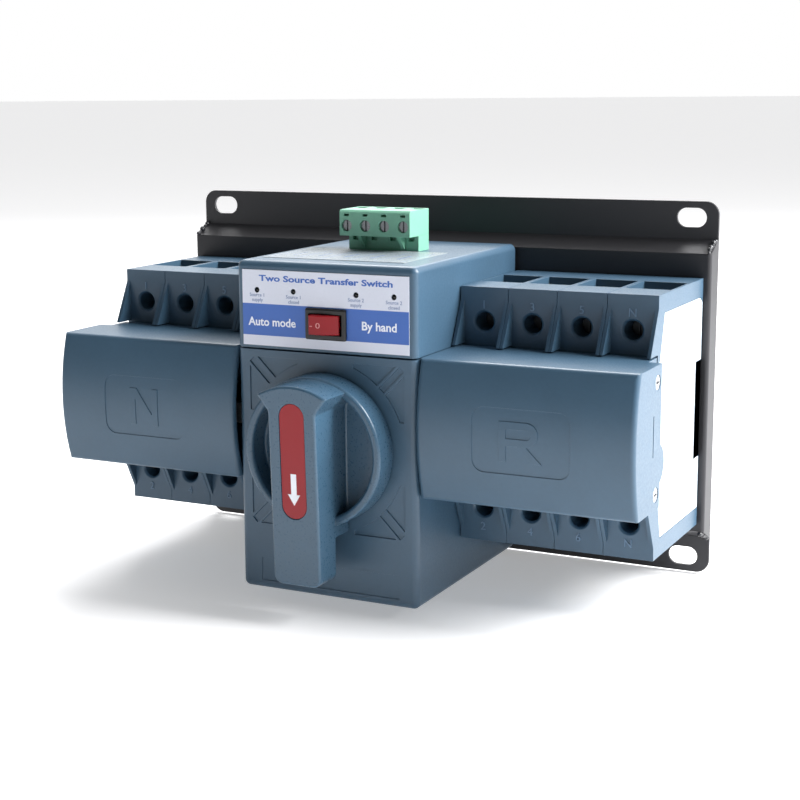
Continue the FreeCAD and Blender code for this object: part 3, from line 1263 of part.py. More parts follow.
def make_levers():
    """The four toggle levers of each breaker and the rod that ties them together."""
    mid, hub_d = s.pole_middle_z, s.lever_pivot_d
    levers = []
    for number, x in enumerate(pole_centres()):
        start, width = x - s.lever_half_width, s.lever_half_width * 2
        hub = rod(f"lever_hub_{number}", s.lever_hub, width, (start, hub_d, mid), "x")
        arm = box(f"lever_arm_{number}", (start, start + width), (hub_d, s.lever_tip_d),
                  (mid - s.lever_half_thick, mid + s.lever_half_thick))
        tail = box(f"lever_tail_{number}", (x - 1.5, x + 1.5), (hub_d - s.lever_tail, hub_d),
                   (mid - 1.5, mid + 1.5))
        bore = rod(f"lever_bore_{number}", s.pivot_radius + s.running_gap, width + OVER * 2,
                   (start - OVER, hub_d, mid), "x")
        eye = rod(f"lever_eye_{number}", s.tie_radius, width + OVER * 2,
                  (start - OVER, s.tie_d, mid), "x")
        levers.append(cut(f"lever_{number}", fuse(f"lever_blank_{number}", [hub, arm, tail]),
                          bore, eye))
    right = node("toggle_levers_right", group("toggle_levers_right", levers))
    node("toggle_levers_left", mirrored("toggle_levers_left", right))
    centres, reach = pole_centres(), s.lever_half_width + 1.5
    first, last = centres[0] - reach, centres[3] + reach
    tie = node("toggle_tie_right", rod("toggle_tie_right", s.tie_radius, last - first,
                                       (first, s.tie_d, mid), "x"))
    node("toggle_tie_left", mirrored("toggle_tie_left", tie))


def make_yokes():
    """The two slides that carry the crank pins' travel out to the toggle levers."""
    mid, axis = s.pole_middle_z, s.handle_z
    back, front = s.yoke_d, s.yoke_d + s.yoke_thick
    web_x, arm_z = (YOKE_SIDE - s.yoke_web, YOKE_SIDE), (mid - s.arm_half_height,
                                                         mid + s.arm_half_height)
    plate = box("yoke_plate", (s.crank_arm / 2, YOKE_SIDE), (back, front),
                (axis - s.crank_pin * 3, mid + 4.0))
    reach = s.crank_pin + s.slot_play
    slot = box("yoke_slot", (s.crank_arm / 2 - OVER, s.crank_arm + reach),
               (back - OVER, front + OVER), (axis - reach, axis + reach))
    web = box("yoke_web", web_x, (back, s.arm_d + s.arm_thick), arm_z)
    arm = box("yoke_arm", (web_x[0], ARM_REACH), (s.arm_d, s.arm_d + s.arm_thick), arm_z)
    lugs, gaps = [], []
    reach = s.tie_radius + s.slot_play
    for number in (1, 3):
        x = POLE_START + s.pole_pitch * number - s.pole_gap / 2
        lugs.append(box(f"yoke_lug_{number}", (x - s.lug_half, x + s.lug_half),
                        (s.tie_d - s.tie_radius * 2, s.arm_d + 0.5),
                        (mid - s.tie_radius - s.lug_wall, mid + s.tie_radius + s.lug_wall)))
        gaps.append(box(f"yoke_lug_gap_{number}", (x - s.lug_half - OVER, x + s.lug_half + OVER),
                        (s.tie_d - s.tie_radius * 2 - OVER, s.tie_d + s.tie_radius + 0.4),
                        (mid - reach, mid + reach)))
    blank = fuse("yoke_blank", [plate, web, arm] + lugs)
    right = node("slide_yoke_right", cut("slide_yoke_right", blank, slot, *gaps))
    node("slide_yoke_left", mirrored("slide_yoke_left", right))


def make_clips():
    """The sliding feet that lock each breaker on its rail."""
    left, right, flange = clip_span()
    back, low = s.pole_back + s.clip_gap * 2, s.pole_middle_z - s.pole_half_height
    high = flange + s.clip_bite
    plate = box("clip_plate", (left, right), (back, back + s.clip_thick),
                (low - s.clip_tab, high))
    step = box("clip_step", (left, right),
               (back, s.plate_rise + s.rail_depth - s.rail_gauge - s.clip_gap),
               (flange - 0.1, high))
    hole = rod("clip_hole", 1.6, s.clip_thick * 2, ((left + right) / 2, s.pole_back - OVER,
                                                    low + 1.0))
    clip = node("din_clip_right", cut("din_clip_right", fuse("clip_blank", [plate, step]), hole))
    node("din_clip_left", mirrored("din_clip_left", clip))


# --------------------------------------------------------------------- covers

def cover_profile(inset, back):
    """The side of a cover: flat top and bottom joined by a gently bulging front."""
    top, bottom = s.cover_top - inset, s.cover_bottom + inset
    edge = s.cover_edge_d - inset
    half = (top - bottom) / 2
    bulge = s.cover_bulge
    radius = (half * half + bulge * bulge) / (bulge * 2)
    middle = (top + bottom) / 2
    centre = (radius - edge - bulge, middle)
    return [(-back, top), (-edge, top), (-edge, bottom), (-back, bottom)], \
        {1: (radius, centre)}


def letter_outlines(name, low):
    """The outlines of an upright N or R from its lower left corner, as (points, arcs)."""
    x0, z0 = low
    tall, stroke = s.letter_height, s.letter_stroke
    if name == "left":
        wide, slant = s.letter_narrow, s.letter_stroke * 1.25
        points = [(0, 0), (0, tall), (slant, tall), (wide - stroke, slant * 1.3),
                  (wide - stroke, tall), (wide, tall), (wide, 0), (wide - slant, 0),
                  (stroke, tall - slant * 1.3), (stroke, 0)]
        loops = [(points, {})]
    else:
        wide, bowl = s.letter_width, tall * 0.3
        core, waist = bowl - stroke, tall - bowl * 2
        turn = wide - bowl - stroke / 2
        points = [(0, 0), (stroke, 0), (stroke, waist), (turn - stroke * 1.25, waist),
                  (wide - stroke * 1.25, 0), (wide, 0), (turn, waist), (turn, tall), (0, tall)]
        hole = [(stroke, waist + stroke), (turn, waist + stroke), (turn, tall - stroke),
                (stroke, tall - stroke)]
        guide = (turn - 0.4, waist + bowl)
        loops = [(points, {6: (bowl, guide)}), (hole, {1: (core, guide)})]
    return [([(x + x0, z + z0) for x, z in points],
             {index: (radius, (at[0] + x0, at[1] + z0)) for index, (radius, at) in arcs.items()})
            for points, arcs in loops]


def panel_tool(name, x):
    """The shallow rounded panel of a cover's front, less the letter that stands in it."""
    low, high, corner = s.panel_bottom, s.panel_top, s.panel_corner
    inner_x, inner_z = (x[0] + corner, x[1] - corner), (low + corner, high - corner)
    start = s.cover_edge_d - OVER
    prism = new_body(f"panel_{name}")
    shape = sketch_on(prism, f"panel_shape_{name}", "XZ_Plane", start)
    outline(shape, [(inner_x[0], low), (inner_x[1], low), (x[1], inner_z[0]), (x[1], inner_z[1]),
                    (inner_x[1], high), (inner_x[0], high), (x[0], inner_z[1]),
                    (x[0], inner_z[0])],
            {1: (corner, (inner_x[1], inner_z[0])), 3: (corner, (inner_x[1], inner_z[1])),
             5: (corner, (inner_x[0], inner_z[1])), 7: (corner, (inner_x[0], inner_z[0]))})
    pad(prism, shape, s.cover_bulge + OVER * 2)
    core = new_body(f"panel_core_{name}")
    points, arcs = cover_profile(s.panel_depth, s.cover_back)
    pad(core, outline(sketch_on(core, f"panel_back_{name}", "YZ_Plane", x[0] - OVER), points,
                      arcs), x[1] - x[0] + OVER * 2)
    letter = new_body(f"letter_{name}")
    wide = s.letter_narrow if name == "left" else s.letter_width
    sketch = sketch_on(letter, f"letter_shape_{name}", "XZ_Plane", start)
    for points, arcs in letter_outlines(name, ((x[0] + x[1] - wide) / 2,
                                               (low + high - s.letter_height) / 2)):
        outline(sketch, points, arcs)
    pad(letter, sketch, s.cover_bulge + OVER * 3)
    return cut(f"panel_tool_{name}", prism, core, letter)


def make_covers():
    """The lever covers: shells with a bulging front, screwed to the breakers' sides."""
    body = new_body("cover_shell")
    points, arcs = cover_profile(size(0.0), s.cover_back)
    pad(body, outline(sketch_on(body, "cover_side", "YZ_Plane", COVER_INNER), points, arcs),
        COVER_OUTER - COVER_INNER)
    front = s.cover_edge_d.value
    round_edges(body, 1.8, lambda p, t: -p.y > front - 0.1 and not near(-p.y, s.cover_back))
    round_edges(body, 1.5, lambda p, t: abs(t.y) > 0.9 and near(p.x, COVER_INNER)
                and near(p.z, s.cover_bottom))
    points, arcs = cover_profile(s.cover_wall, s.cover_back - OVER * 2)
    cavity = sketch_on(body, "cover_cavity", "YZ_Plane", COVER_OUTER - s.cover_wall)
    pocket(body, outline(cavity, points, arcs), COVER_OUTER)
    skirt_x = POLE_END + s.pole_gap
    trim = box("cover_trim", (skirt_x, COVER_OUTER + OVER), (s.cover_back - OVER, s.skirt_back),
               (s.cover_bottom - OVER, s.cover_top + OVER))
    lobe = rod("cover_lobe", s.lobe_radius, s.cover_wall,
               (COVER_OUTER - s.cover_wall, s.lobe_d, s.lobe_z), "x")
    bosses, holes = [], []
    for name, z in (("top", s.cover_screw_top), ("bottom", s.cover_screw_bottom)):
        bosses.append(rod(f"cover_boss_{name}", s.boss_radius, COVER_OUTER - skirt_x - 0.6,
                          (skirt_x, s.cover_screw_d, z), "x"))
        holes.append(rod(f"cover_hole_{name}", s.cover_screw + s.running_gap, 10.0,
                         (skirt_x - OVER, s.cover_screw_d, z), "x"))
        holes.append(rod(f"cover_sink_{name}", s.cover_screw_head + 0.1, 3.0,
                         (COVER_OUTER - s.cover_screw_sink, s.cover_screw_d, z), "x"))
    slit = box("cover_slit", (COVER_OUTER - s.vent_depth, COVER_OUTER + OVER),
               (s.vent_d - s.vent_width / 2, s.vent_d + s.vent_width / 2),
               (s.vent_low, s.vent_high))
    trimmed = cut("cover_trimmed", body, trim)
    whole = fuse("cover_with_lobe", [trimmed, lobe] + bosses)
    plain = cut("cover_plain", whole, slit, *holes)
    left_x = (-PANEL_X[1] - 1.2, -PANEL_X[0] - 1.2)
    node("cover_right", cut("cover_right", plain, panel_tool("right", PANEL_X)))
    node("cover_left", cut("cover_left", mirrored("cover_plain_left", plain),
                           panel_tool("left", left_x)))


def make_cover_screws():
    """The cross-head screws in the outer sides of the covers."""
    screws = []
    for name, z in (("top", s.cover_screw_top), ("bottom", s.cover_screw_bottom)):
        head_x = COVER_OUTER - s.cover_screw_sink
        start = POLE_END - COVER_SCREW_BITE
        shank = rod(f"cover_screw_shank_{name}", s.cover_screw, head_x - start + 0.2,
                    (start, s.cover_screw_d, z), "x")
        head = rod(f"cover_screw_head_{name}", s.cover_screw_head, 1.0,
                   (head_x, s.cover_screw_d, z), "x")
        blank = fuse(f"cover_screw_blank_{name}", [shank, head])
        top = head_x + 1.0
        cross = [box(f"cover_cross_{name}_{n}", (top - 0.7, top + 0.2),
                     (s.cover_screw_d - a, s.cover_screw_d + a), (z - b, z + b))
                 for n, (a, b) in enumerate(((1.6, 0.32), (0.32, 1.6)))]
        screws.append(cut(f"cover_screw_{name}", blank, *cross))
    both_sides("cover_screws", screws)


def drill_cover_screw_holes():
    """Holes for the cover screws in the outer poles and their end plates."""
    start = POLE_END - COVER_SCREW_BITE
    drills = [rod(f"outer_drill_{name}", s.cover_screw, 8.0, (start, s.cover_screw_d, z), "x")
              for name, z in (("top", s.cover_screw_top), ("bottom", s.cover_screw_bottom))]
    for right, left in (("pole_right_4", "pole_left_4"), ("end_plate_right", "end_plate_left")):
        source = NODES[right]
        source.Label = right + "_undrilled"
        NODES[left].Label = left + "_undrilled"
        done = node(right, cut(right + "_drilled", source, *[
            moved(f"{right}_{drill.Name}", drill) for drill in drills]))
        node(left, mirrored(left + "_drilled", done))


# ---------------------------------------------------------------- whole object

def check_objects():
    """Stop if any object of the document failed to compute."""
    for obj in doc.Objects:
        if {"Invalid", "Error"} & set(obj.State):
            raise RuntimeError(f"{obj.Name} failed: {obj.State}")


def export():
    """Write each sub-part after checking its shape."""
    os.makedirs("parts", exist_ok=True)
    for old in os.listdir("parts"):
        if re.fullmatch(r"[a-z0-9_]+\.step", old):
            os.remove(os.path.join("parts", old))
    for name, obj in NODES.items():
        if obj.Shape.isNull() or not obj.Shape.isValid() or not obj.Shape.Solids:
            raise RuntimeError(f"{name} has no valid shape")
    for name, obj in NODES.items():
        obj.Shape.exportStep(f"parts/{name}.step")
    print(f"{len(NODES)} nodes written")


def main():
    """Build every sub-part in the order it is assembled."""
    make_back_plate()
    make_plate_screws()
    make_rails()
    make_chassis()
    make_bushes()
    make_motor()
    make_gears()
    make_shaft()
    make_limit_switches()
    make_handle()
    make_lower_housing()
    make_upper_housing()
    make_labels()
    make_board()
    make_rocker()
    make_terminal()
    make_breakers()
    make_breaker_insides()
    make_levers()
    make_yokes()
    make_clips()
    make_covers()
    make_cover_screws()
    drill_cover_screw_holes()
    doc.recompute()
    check_objects()
    export()


main()
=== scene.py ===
import json
import logging
import math
from dataclasses import dataclass, field
from enum import Enum
from typing import Callable, Iterable, Optional, Sequence

import bmesh
import bpy
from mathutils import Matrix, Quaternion, Vector


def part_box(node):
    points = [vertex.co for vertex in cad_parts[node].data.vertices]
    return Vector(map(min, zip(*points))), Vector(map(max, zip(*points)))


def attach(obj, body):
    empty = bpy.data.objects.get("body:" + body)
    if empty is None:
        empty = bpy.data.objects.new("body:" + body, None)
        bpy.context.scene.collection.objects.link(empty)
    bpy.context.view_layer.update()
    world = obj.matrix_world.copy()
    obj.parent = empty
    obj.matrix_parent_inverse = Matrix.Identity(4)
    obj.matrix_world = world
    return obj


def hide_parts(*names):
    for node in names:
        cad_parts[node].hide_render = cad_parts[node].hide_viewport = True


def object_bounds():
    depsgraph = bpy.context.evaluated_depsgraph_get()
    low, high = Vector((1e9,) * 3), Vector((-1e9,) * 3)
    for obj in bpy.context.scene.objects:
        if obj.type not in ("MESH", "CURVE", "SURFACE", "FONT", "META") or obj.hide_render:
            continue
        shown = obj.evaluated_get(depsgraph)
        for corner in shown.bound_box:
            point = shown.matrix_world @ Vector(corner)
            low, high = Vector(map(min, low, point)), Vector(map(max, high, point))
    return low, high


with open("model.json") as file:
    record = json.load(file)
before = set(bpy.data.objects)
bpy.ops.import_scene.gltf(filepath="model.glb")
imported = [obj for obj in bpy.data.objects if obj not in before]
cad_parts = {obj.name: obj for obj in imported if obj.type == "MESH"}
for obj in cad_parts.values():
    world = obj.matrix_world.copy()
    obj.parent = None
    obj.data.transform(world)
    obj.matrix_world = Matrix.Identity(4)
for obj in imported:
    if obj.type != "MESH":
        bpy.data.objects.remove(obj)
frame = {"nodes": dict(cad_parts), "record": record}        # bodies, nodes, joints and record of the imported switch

log = logging.getLogger("transfer_switch")
CAD_BOX = [list(corner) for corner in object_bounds()]
MM = 0.001
MERGE = 2e-6                  # vertices closer than this are one, in metres
FLAT_DEGREES = 0.6            # triangles that turn by less than this are one flat face
FACE_ALONG = 0.5              # a face looks a way when its normal has more than this of it
DRIFT_PER_METRE = 38.0        # patches of slightly different colour are about 26 mm across
SPECK_SHARE = 0.35            # how much the fine speck adds to the slow drift
LINE_STRETCH = 0.03           # width of a brushed line over its length
CAPITAL_SHARE = 0.7           # height of a capital over the font's size
Point = tuple[float, float, float]


# ------------------------------------------------------------------ small tools

def linear(code: str) -> tuple[float, float, float, float]:
    """Turn an sRGB hex colour to linear light.

    Args:
        code: six hex digits.

    Returns:
        Red, green, blue and full alpha, linear.
    """
    channels = [int(code[k:k + 2], 16) / 255 for k in (0, 2, 4)]
    return (*[c / 12.92 if c <= 0.04045 else ((c + 0.055) / 1.055) ** 2.4 for c in channels], 1.0)


def put(tree: bpy.types.NodeTree, kind: str, settings: Optional[dict] = None,
        links: Optional[dict] = None, **inputs: object) -> bpy.types.Node:
    """Add one shader node.

    Args:
        tree: the node tree.
        kind: the node's type name.
        settings: properties of the node itself.
        links: input name or number to the output socket that feeds it.
        inputs: input name, with underscores for spaces, to a fixed value.

    Returns:
        The new node.
    """
    node = tree.nodes.new(kind)
    for name, value in (settings or {}).items():
        setattr(node, name, value)
    for name, value in inputs.items():
        node.inputs[name.replace("_", " ")].default_value = value
    for name, socket in (links or {}).items():
        tree.links.new(socket, node.inputs[name])
    return node


def only(obj: bpy.types.Object) -> None:
    """Select one object and nothing else, and make it active."""
    bpy.ops.object.select_all(action="DESELECT")
    obj.select_set(True)
    bpy.context.view_layer.objects.active = obj


def settle(obj: bpy.types.Object) -> bpy.types.Object:
    """Apply an object's place, turn and scale to its mesh, so that it sits at the origin."""
    only(obj)
    bpy.ops.object.transform_apply(location=True, rotation=True, scale=True)
    return obj


def modify(obj: bpy.types.Object, kind: str, **settings: object) -> None:
    """Add a modifier with its settings and apply it."""
    only(obj)
    modifier = obj.modifiers.new(kind.title(), kind)
    for name, value in settings.items():
        setattr(modifier, name, value)
    bpy.ops.object.modifier_apply(modifier=modifier.name)


def smooth(obj: bpy.types.Object, degrees: float = 32.0) -> None:
    """Shade faces smooth across edges that turn by less than an angle."""
    only(obj)
    bpy.ops.object.shade_smooth_by_angle(angle=math.radians(degrees))


def pick(obj: bpy.types.Object, test: Callable[[Vector, Vector], bool]) -> int:
    """Select the faces of an object in edit mode whose centre and normal pass a test.

    Args:
        obj: the object in edit mode.
        test: takes a face's centre and its normal.

    Returns:
        How many faces are selected.
    """
    shape = bmesh.from_edit_mesh(obj.data)
    count = 0
    for face in shape.faces:
        chosen = test(face.calc_center_median(), face.normal)
        face.select_set(chosen)
        count += chosen
    shape.select_flush(True)
    bmesh.update_edit_mesh(obj.data)
    return count


def slab(name: str, low: Sequence[float], high: Sequence[float]) -> bpy.types.Object:
    """Start a block between two corners, in metres."""
    bpy.ops.object.select_all(action="DESELECT")
    centre = [(a + b) / 2 for a, b in zip(low, high)]
    bpy.ops.mesh.primitive_cube_add(size=1, location=centre)
    obj = bpy.context.object
    obj.name = name
    obj.scale = [b - a for a, b in zip(low, high)]
    return settle(obj)


class Facing(Enum):
    """Which way a flat piece looks, as the turn of something drawn on the XY plane."""

    FRONT = (math.pi / 2, 0.0, 0.0)
    TOP = (0.0, 0.0, 0.0)
    RIGHT = (math.pi / 2, 0.0, math.pi / 2)


def drum(name: str, centre: Sequence[float], radius: float, thick: float, facing: Facing,
         sides: int = 32) -> bpy.types.Object:
    """Start a round disc or rod about a centre, its axis the way it faces."""
    bpy.ops.object.select_all(action="DESELECT")
    bpy.ops.mesh.primitive_cylinder_add(vertices=sides, radius=radius, depth=thick,
                                        location=centre, rotation=facing.value)
    obj = bpy.context.object
    obj.name = name
    return settle(obj)


def lettering(name: str, words: str, height: float, centre: Sequence[float], depth: float,
              facing: Facing = Facing.FRONT, weight: float = 0.0,
              width: Optional[float] = None) -> bpy.types.Object:
    """Make generic lettering as a thin raised mesh.

    Args:
        name: the piece's name.
        words: what it says.
        height: height of a capital, in metres.
        centre: middle of the words, on the surface they stand on.
        depth: how far they stand off the surface.
        facing: which way they look.
        weight: how much bolder than the plain font, as a share of the height.
        width: full width of the words, where it is set.

    Returns:
        The mesh, at the origin.
    """
    bpy.ops.object.select_all(action="DESELECT")
    bpy.ops.object.text_add()
    obj = bpy.context.object
    obj.name = name
    text = obj.data
    text.body = words
    text.size = height / CAPITAL_SHARE
    text.align_x, text.align_y = "CENTER", "CENTER"
    text.offset = weight * height
    text.extrude = depth / 2
    text.resolution_u = 3
    bpy.ops.object.convert(target="MESH")
    obj = bpy.context.object
    corners = [Vector(c) for c in obj.bound_box]
    low, high = corners[0], corners[6]
    across = (width / (high.x - low.x)) if width else 1.0
    middle = (low + high) / 2
    for vertex in obj.data.vertices:
        vertex.co = ((vertex.co.x - middle.x) * across, vertex.co.y - middle.y,
                     vertex.co.z + depth / 2)
    obj.rotation_euler = facing.value
    obj.location = centre
    return settle(obj)


# --------------------------------------------------------------------- finishes

class Grain(Enum):
    """What the surface of a finish is like close up."""

    SPARK = "spark-eroded mould texture"
    PEEL = "powder coat's orange peel"
    BRUSHED = "fine lines along X"
    TURNED = "fine even grain"
    GLOSS = "polished mould or laminate"


@dataclass(frozen=True)
class Finish:
    """A procedural material named for what the real one is.

    Attributes:
        name: common name and how the surface was made.
        colour: sRGB hex.
        roughness: microscopic roughness.
        grain: kind of surface texture.
        metallic: 1 for bare metal.
        grain_mm: size of one grain.
        grain_depth: strength of the bump.
        shift: how far the colour drifts over the piece.
        ior: index of refraction, left alone on a metal.
    """

    name: str
    colour: str
    roughness: float
    grain: Grain = Grain.SPARK
    metallic: float = 0.0
    grain_mm: float = 0.5
    grain_depth: float = 0.12
    shift: float = 0.06
    ior: float = 1.5

    def material(self) -> bpy.types.Material:
        """Return the finish's material, made the first time it is asked for."""
        found = bpy.data.materials.get(self.name)
        if found:
            return found
        made = bpy.data.materials.new(self.name)
        made.use_nodes = True
        tree = made.node_tree
        tree.nodes.clear()
        place = put(tree, "ShaderNodeTexCoord").outputs["Object"]
        shader = put(tree, "ShaderNodeBsdfPrincipled", Metallic=self.metallic)
        if not self.metallic:
            shader.inputs["IOR"].default_value = self.ior
        self._colour(tree, place, shader)
        self._surface(tree, place, shader)
        put(tree, "ShaderNodeOutputMaterial", links={"Surface": shader.outputs[0]})
        return made

    def _colour(self, tree: bpy.types.NodeTree, place: bpy.types.NodeSocket,
                shader: bpy.types.Node) -> None:
        """Give the colour its slow drift and its grain.

        Args:
            tree: the material's nodes.
            place: the point of the piece.
            shader: the node that the colour goes to.
        """
        base = linear(self.colour)
        shader.inputs["Base Color"].default_value = base
        if not self.shift:
            return
        drift = put(tree, "ShaderNodeTexNoise", Scale=DRIFT_PER_METRE, Detail=3.0,
                    links={"Vector": place})
        speck = put(tree, "ShaderNodeTexNoise", Scale=1 / (self.grain_mm * 2 * MM), Detail=1.0,
                    links={"Vector": place})
        blend = put(tree, "ShaderNodeMath", {"operation": "MULTIPLY_ADD"},
                    links={0: speck.outputs["Fac"], 2: drift.outputs["Fac"]})
        blend.inputs[1].default_value = SPECK_SHARE
        ramp = put(tree, "ShaderNodeMapRange", From_Min=0.45, From_Max=0.9,
                   To_Min=1 - self.shift, To_Max=1 + self.shift,
                   links={"Value": blend.outputs[0]})
        tint = put(tree, "ShaderNodeVectorMath", {"operation": "SCALE"},
                   links={"Scale": ramp.outputs[0]})
        tint.inputs[0].default_value = base[:3]
        tree.links.new(tint.outputs[0], shader.inputs["Base Color"])

    def _surface(self, tree: bpy.types.NodeTree, place: bpy.types.NodeSocket,
                 shader: bpy.types.Node) -> None:
        """Give the finish its grain in roughness and bump.

        Args:
            tree: the material's nodes.
            place: the point of the piece.
            shader: the node that the roughness and the bump go to.
        """
        scale = 1 / (self.grain_mm * MM)
        if self.grain is Grain.BRUSHED:
            stretch = put(tree, "ShaderNodeMapping", Scale=(scale * LINE_STRETCH, scale, scale),
                          links={"Vector": place})
            pattern = put(tree, "ShaderNodeTexNoise", Scale=1.0, Detail=2.0,
                          links={"Vector": stretch.outputs[0]})
        else:
            detail = 1.0 if self.grain is Grain.PEEL else 3.0
            pattern = put(tree, "ShaderNodeTexNoise", Scale=scale, Detail=detail,
                          links={"Vector": place})
        rough = put(tree, "ShaderNodeMapRange", From_Min=0.3, From_Max=0.7,
                    To_Min=self.roughness - 0.05, To_Max=self.roughness + 0.07,
                    links={"Value": pattern.outputs["Fac"]})
        tree.links.new(rough.outputs[0], shader.inputs["Roughness"])
        if self.grain is not Grain.GLOSS:
            bump = put(tree, "ShaderNodeBump", Strength=self.grain_depth,
                       Distance=self.grain_mm * MM * 0.4,
                       links={"Height": pattern.outputs["Fac"]})
            tree.links.new(bump.outputs[0], shader.inputs["Normal"])


# Glass-filled nylon in a spark-eroded mould: slate blue, soft sheen, a very fine grain.
SLATE_NYLON = Finish("slate_nylon_moulded", "3C576C", 0.38, grain_mm=0.6, grain_depth=0.08)
# The handle is moulded in a smoother tool, so it shines more.
HANDLE_NYLON = Finish("handle_nylon_moulded", "3A566B", 0.30, grain_mm=0.8, grain_depth=0.015,
                      shift=0.02)
# The end plates come from a plain tool: cool white and evenly dull.
WHITE_ABS = Finish("white_abs_moulded", "CBD3D8", 0.40, grain_mm=0.6, grain_depth=0.06,
                   shift=0.02)
# The rocker's frame: black with a soft sheen.
BLACK_ABS = Finish("black_abs_moulded", "17181A", 0.38, grain_mm=0.5, grain_depth=0.08)
# The rocker and the inlay leave a polished tool: deep red without a grain.
RED_ABS = Finish("red_abs_polished", "8E0F1A", 0.34, Grain.GLOSS, shift=0.01, ior=1.4)
# Pale green polyamide of pluggable terminals, slightly waxy.
GREEN_PA = Finish("green_polyamide_moulded", "79B59B", 0.42, grain_mm=0.7, grain_depth=0.06,
                  shift=0.03)
# Stoved powder: a fine orange peel that breaks up the light on the plate.
POWDER_BLACK = Finish("black_powder_coat", "0B0C0F", 0.50, Grain.PEEL, grain_mm=1.3,
                      grain_depth=0.10, shift=0.08, ior=1.08)
# Hidden metals: plated sheet keeps its rolling lines, screws and bars are turned.
ZINC_SHEET = Finish("zinc_plated_sheet", "B9BBBC", 0.34, Grain.BRUSHED, 1.0, 0.35, 0.08, 0.05)
ZINC_SCREW = Finish("zinc_plated_screw", "C4C6C8", 0.28, Grain.TURNED, 1.0, 0.4, 0.05, 0.04)
STEEL_BAR = Finish("turned_steel_bar", "9A9CA0", 0.30, Grain.TURNED, 1.0, 0.35, 0.06, 0.04)
BRONZE = Finish("sintered_bronze", "9C7446", 0.45, Grain.TURNED, 1.0, 0.4, 0.12, 0.06)
BRASS = Finish("milled_brass", "C2A25A", 0.30, Grain.TURNED, 1.0, 0.4, 0.06, 0.04)
COPPER = Finish("enamelled_copper_wire", "B4673A", 0.32, Grain.TURNED, 1.0, 0.8, 0.30, 0.05)
# Solder lacquer over glass fibre: dark green and glossy.
BOARD_GREEN = Finish("lacquered_glass_board", "1D5A34", 0.28, Grain.GLOSS, shift=0.05)
# Unlit lamps look like black beads.
LAMP_LENS = Finish("dark_lamp_lens", "050506", 0.12, Grain.GLOSS, shift=0.0)
# Screen-printed inks on a laminated sheet: flat colours, a little shine.
INK_BLUE = Finish("blue_printing_ink", "3C66B4", 0.40, Grain.GLOSS, shift=0.02)
INK_GREY = Finish("grey_printing_ink", "7E90B4", 0.40, Grain.GLOSS, shift=0.02)
INK_WHITE = Finish("white_printing_ink", "E8ECF4", 0.40, Grain.GLOSS, shift=0.02)
LABEL_SHEET = Finish("laminated_label_sheet", "D3D8E6", 0.32, Grain.GLOSS, shift=0.02)
# The wiring table is the same laminate, in a darker bluish grey than the front label.
TABLE_SHEET = Finish("laminated_table_sheet", "8E979C", 0.30, Grain.GLOSS, shift=0.02)
# Raised digits in the same slate plastic, coloured paler: a painted highlight where light catches their relief.
DIGIT_PAINTED_HIGHLIGHT = Finish("slate_nylon_digit_painted_highlight", "5F7A94", 0.45, grain_mm=0.6, grain_depth=0.05)
# Clamp screws of the plug, darker than the cover screws: painted shade for the dark reflections on their metal.
CLAMP_SCREW_PAINTED_SHADE = Finish("plug_screw_painted_shade", "85888A", 0.30, Grain.TURNED, 1.0, 0.4, 0.08,
                    0.06)
# White ink worn thin, so that the red plastic shows through it.
MARK_PINK = Finish("worn_white_ink", "D88F90", 0.45, Grain.GLOSS, shift=0.02)
# Rivets a shade greyer than the plates: painted shade, standing in for the grey shadow round each rivet.
RIVET_PAINTED_SHADE = Finish("white_rivet_painted_shade", "CFD3D4", 0.45, Grain.GLOSS, shift=0.02)
# Screws deep in the terminals, darkened: painted shade of the holes they sit in.
DEEP_SCREW_PAINTED_SHADE = Finish("terminal_screw_painted_shade", "3C3E40", 0.35, Grain.TURNED, 1.0, 0.4, 0.08, 0.06)
# Weld beads painted over: glossier than the sheet and full of pits that sparkle.
WELD = Finish("painted_weld_bead", "2A2B2F", 0.22, Grain.PEEL, grain_mm=0.5, grain_depth=0.9,
              shift=0.3)

# the terminal and plug screws take finishes darkened with painted shade
NODE_FINISH = {"handle_grip": HANDLE_NYLON, "terminal_screws": DEEP_SCREW_PAINTED_SHADE,
               "wiring_label": TABLE_SHEET, "plug_screws": CLAMP_SCREW_PAINTED_SHADE}
SLOT_FINISH = {
    "black_powder_coat": POWDER_BLACK, "blue_grey_plastic": SLATE_NYLON,
    "white_plastic": WHITE_ABS, "black_plastic": BLACK_ABS, "red_plastic": RED_ABS,
    "green_plastic": GREEN_PA, "label_print": LABEL_SHEET, "circuit_board": BOARD_GREEN,
    "dark_lens": LAMP_LENS, "zinc_sheet": ZINC_SHEET, "zinc_screws": ZINC_SCREW,
    "steel_bar": STEEL_BAR, "motor_can": ZINC_SHEET, "sintered_bronze": BRONZE,
    "brass": BRASS, "copper_wire": COPPER,
}


def dress(obj: bpy.types.Object, finish: Finish) -> None:
    """Give an object one finish all over."""
    obj.data.materials.clear()
    obj.data.materials.append(finish.material())


def fit(obj: bpy.types.Object, finish: Finish, body: str = "root",
        stands_for: Iterable[str] = ()) -> bpy.types.Object:
    """Dress a finished piece and fix it to its body.

    Args:
        obj: the piece, at the origin.
        finish: what it is made of.
        body: the body that it moves with.
        stands_for: the frame's nodes that it stands for.

    Returns:
        The piece.
    """
    dress(obj, finish)
    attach(obj, body)
    if stands_for:
        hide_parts(*stands_for)
    log.info("%s: %d faces, on %s", obj.name, len(obj.data.polygons), body)
    return obj


# ------------------------------------------------------------- parts of the frame

NODE_SLOT = {row["node"]: row["material_slot"] for row in frame["record"]["subparts"]}
NODE_BODY = {node: body for body, nodes in frame["record"]["behaviour"]["bodies"].items()
             for node in nodes}


def finish_of(node: str) -> Finish:
    """Return the finish of a frame part: its own, or its slot's."""
    return NODE_FINISH.get(node, SLOT_FINISH[NODE_SLOT[node]])


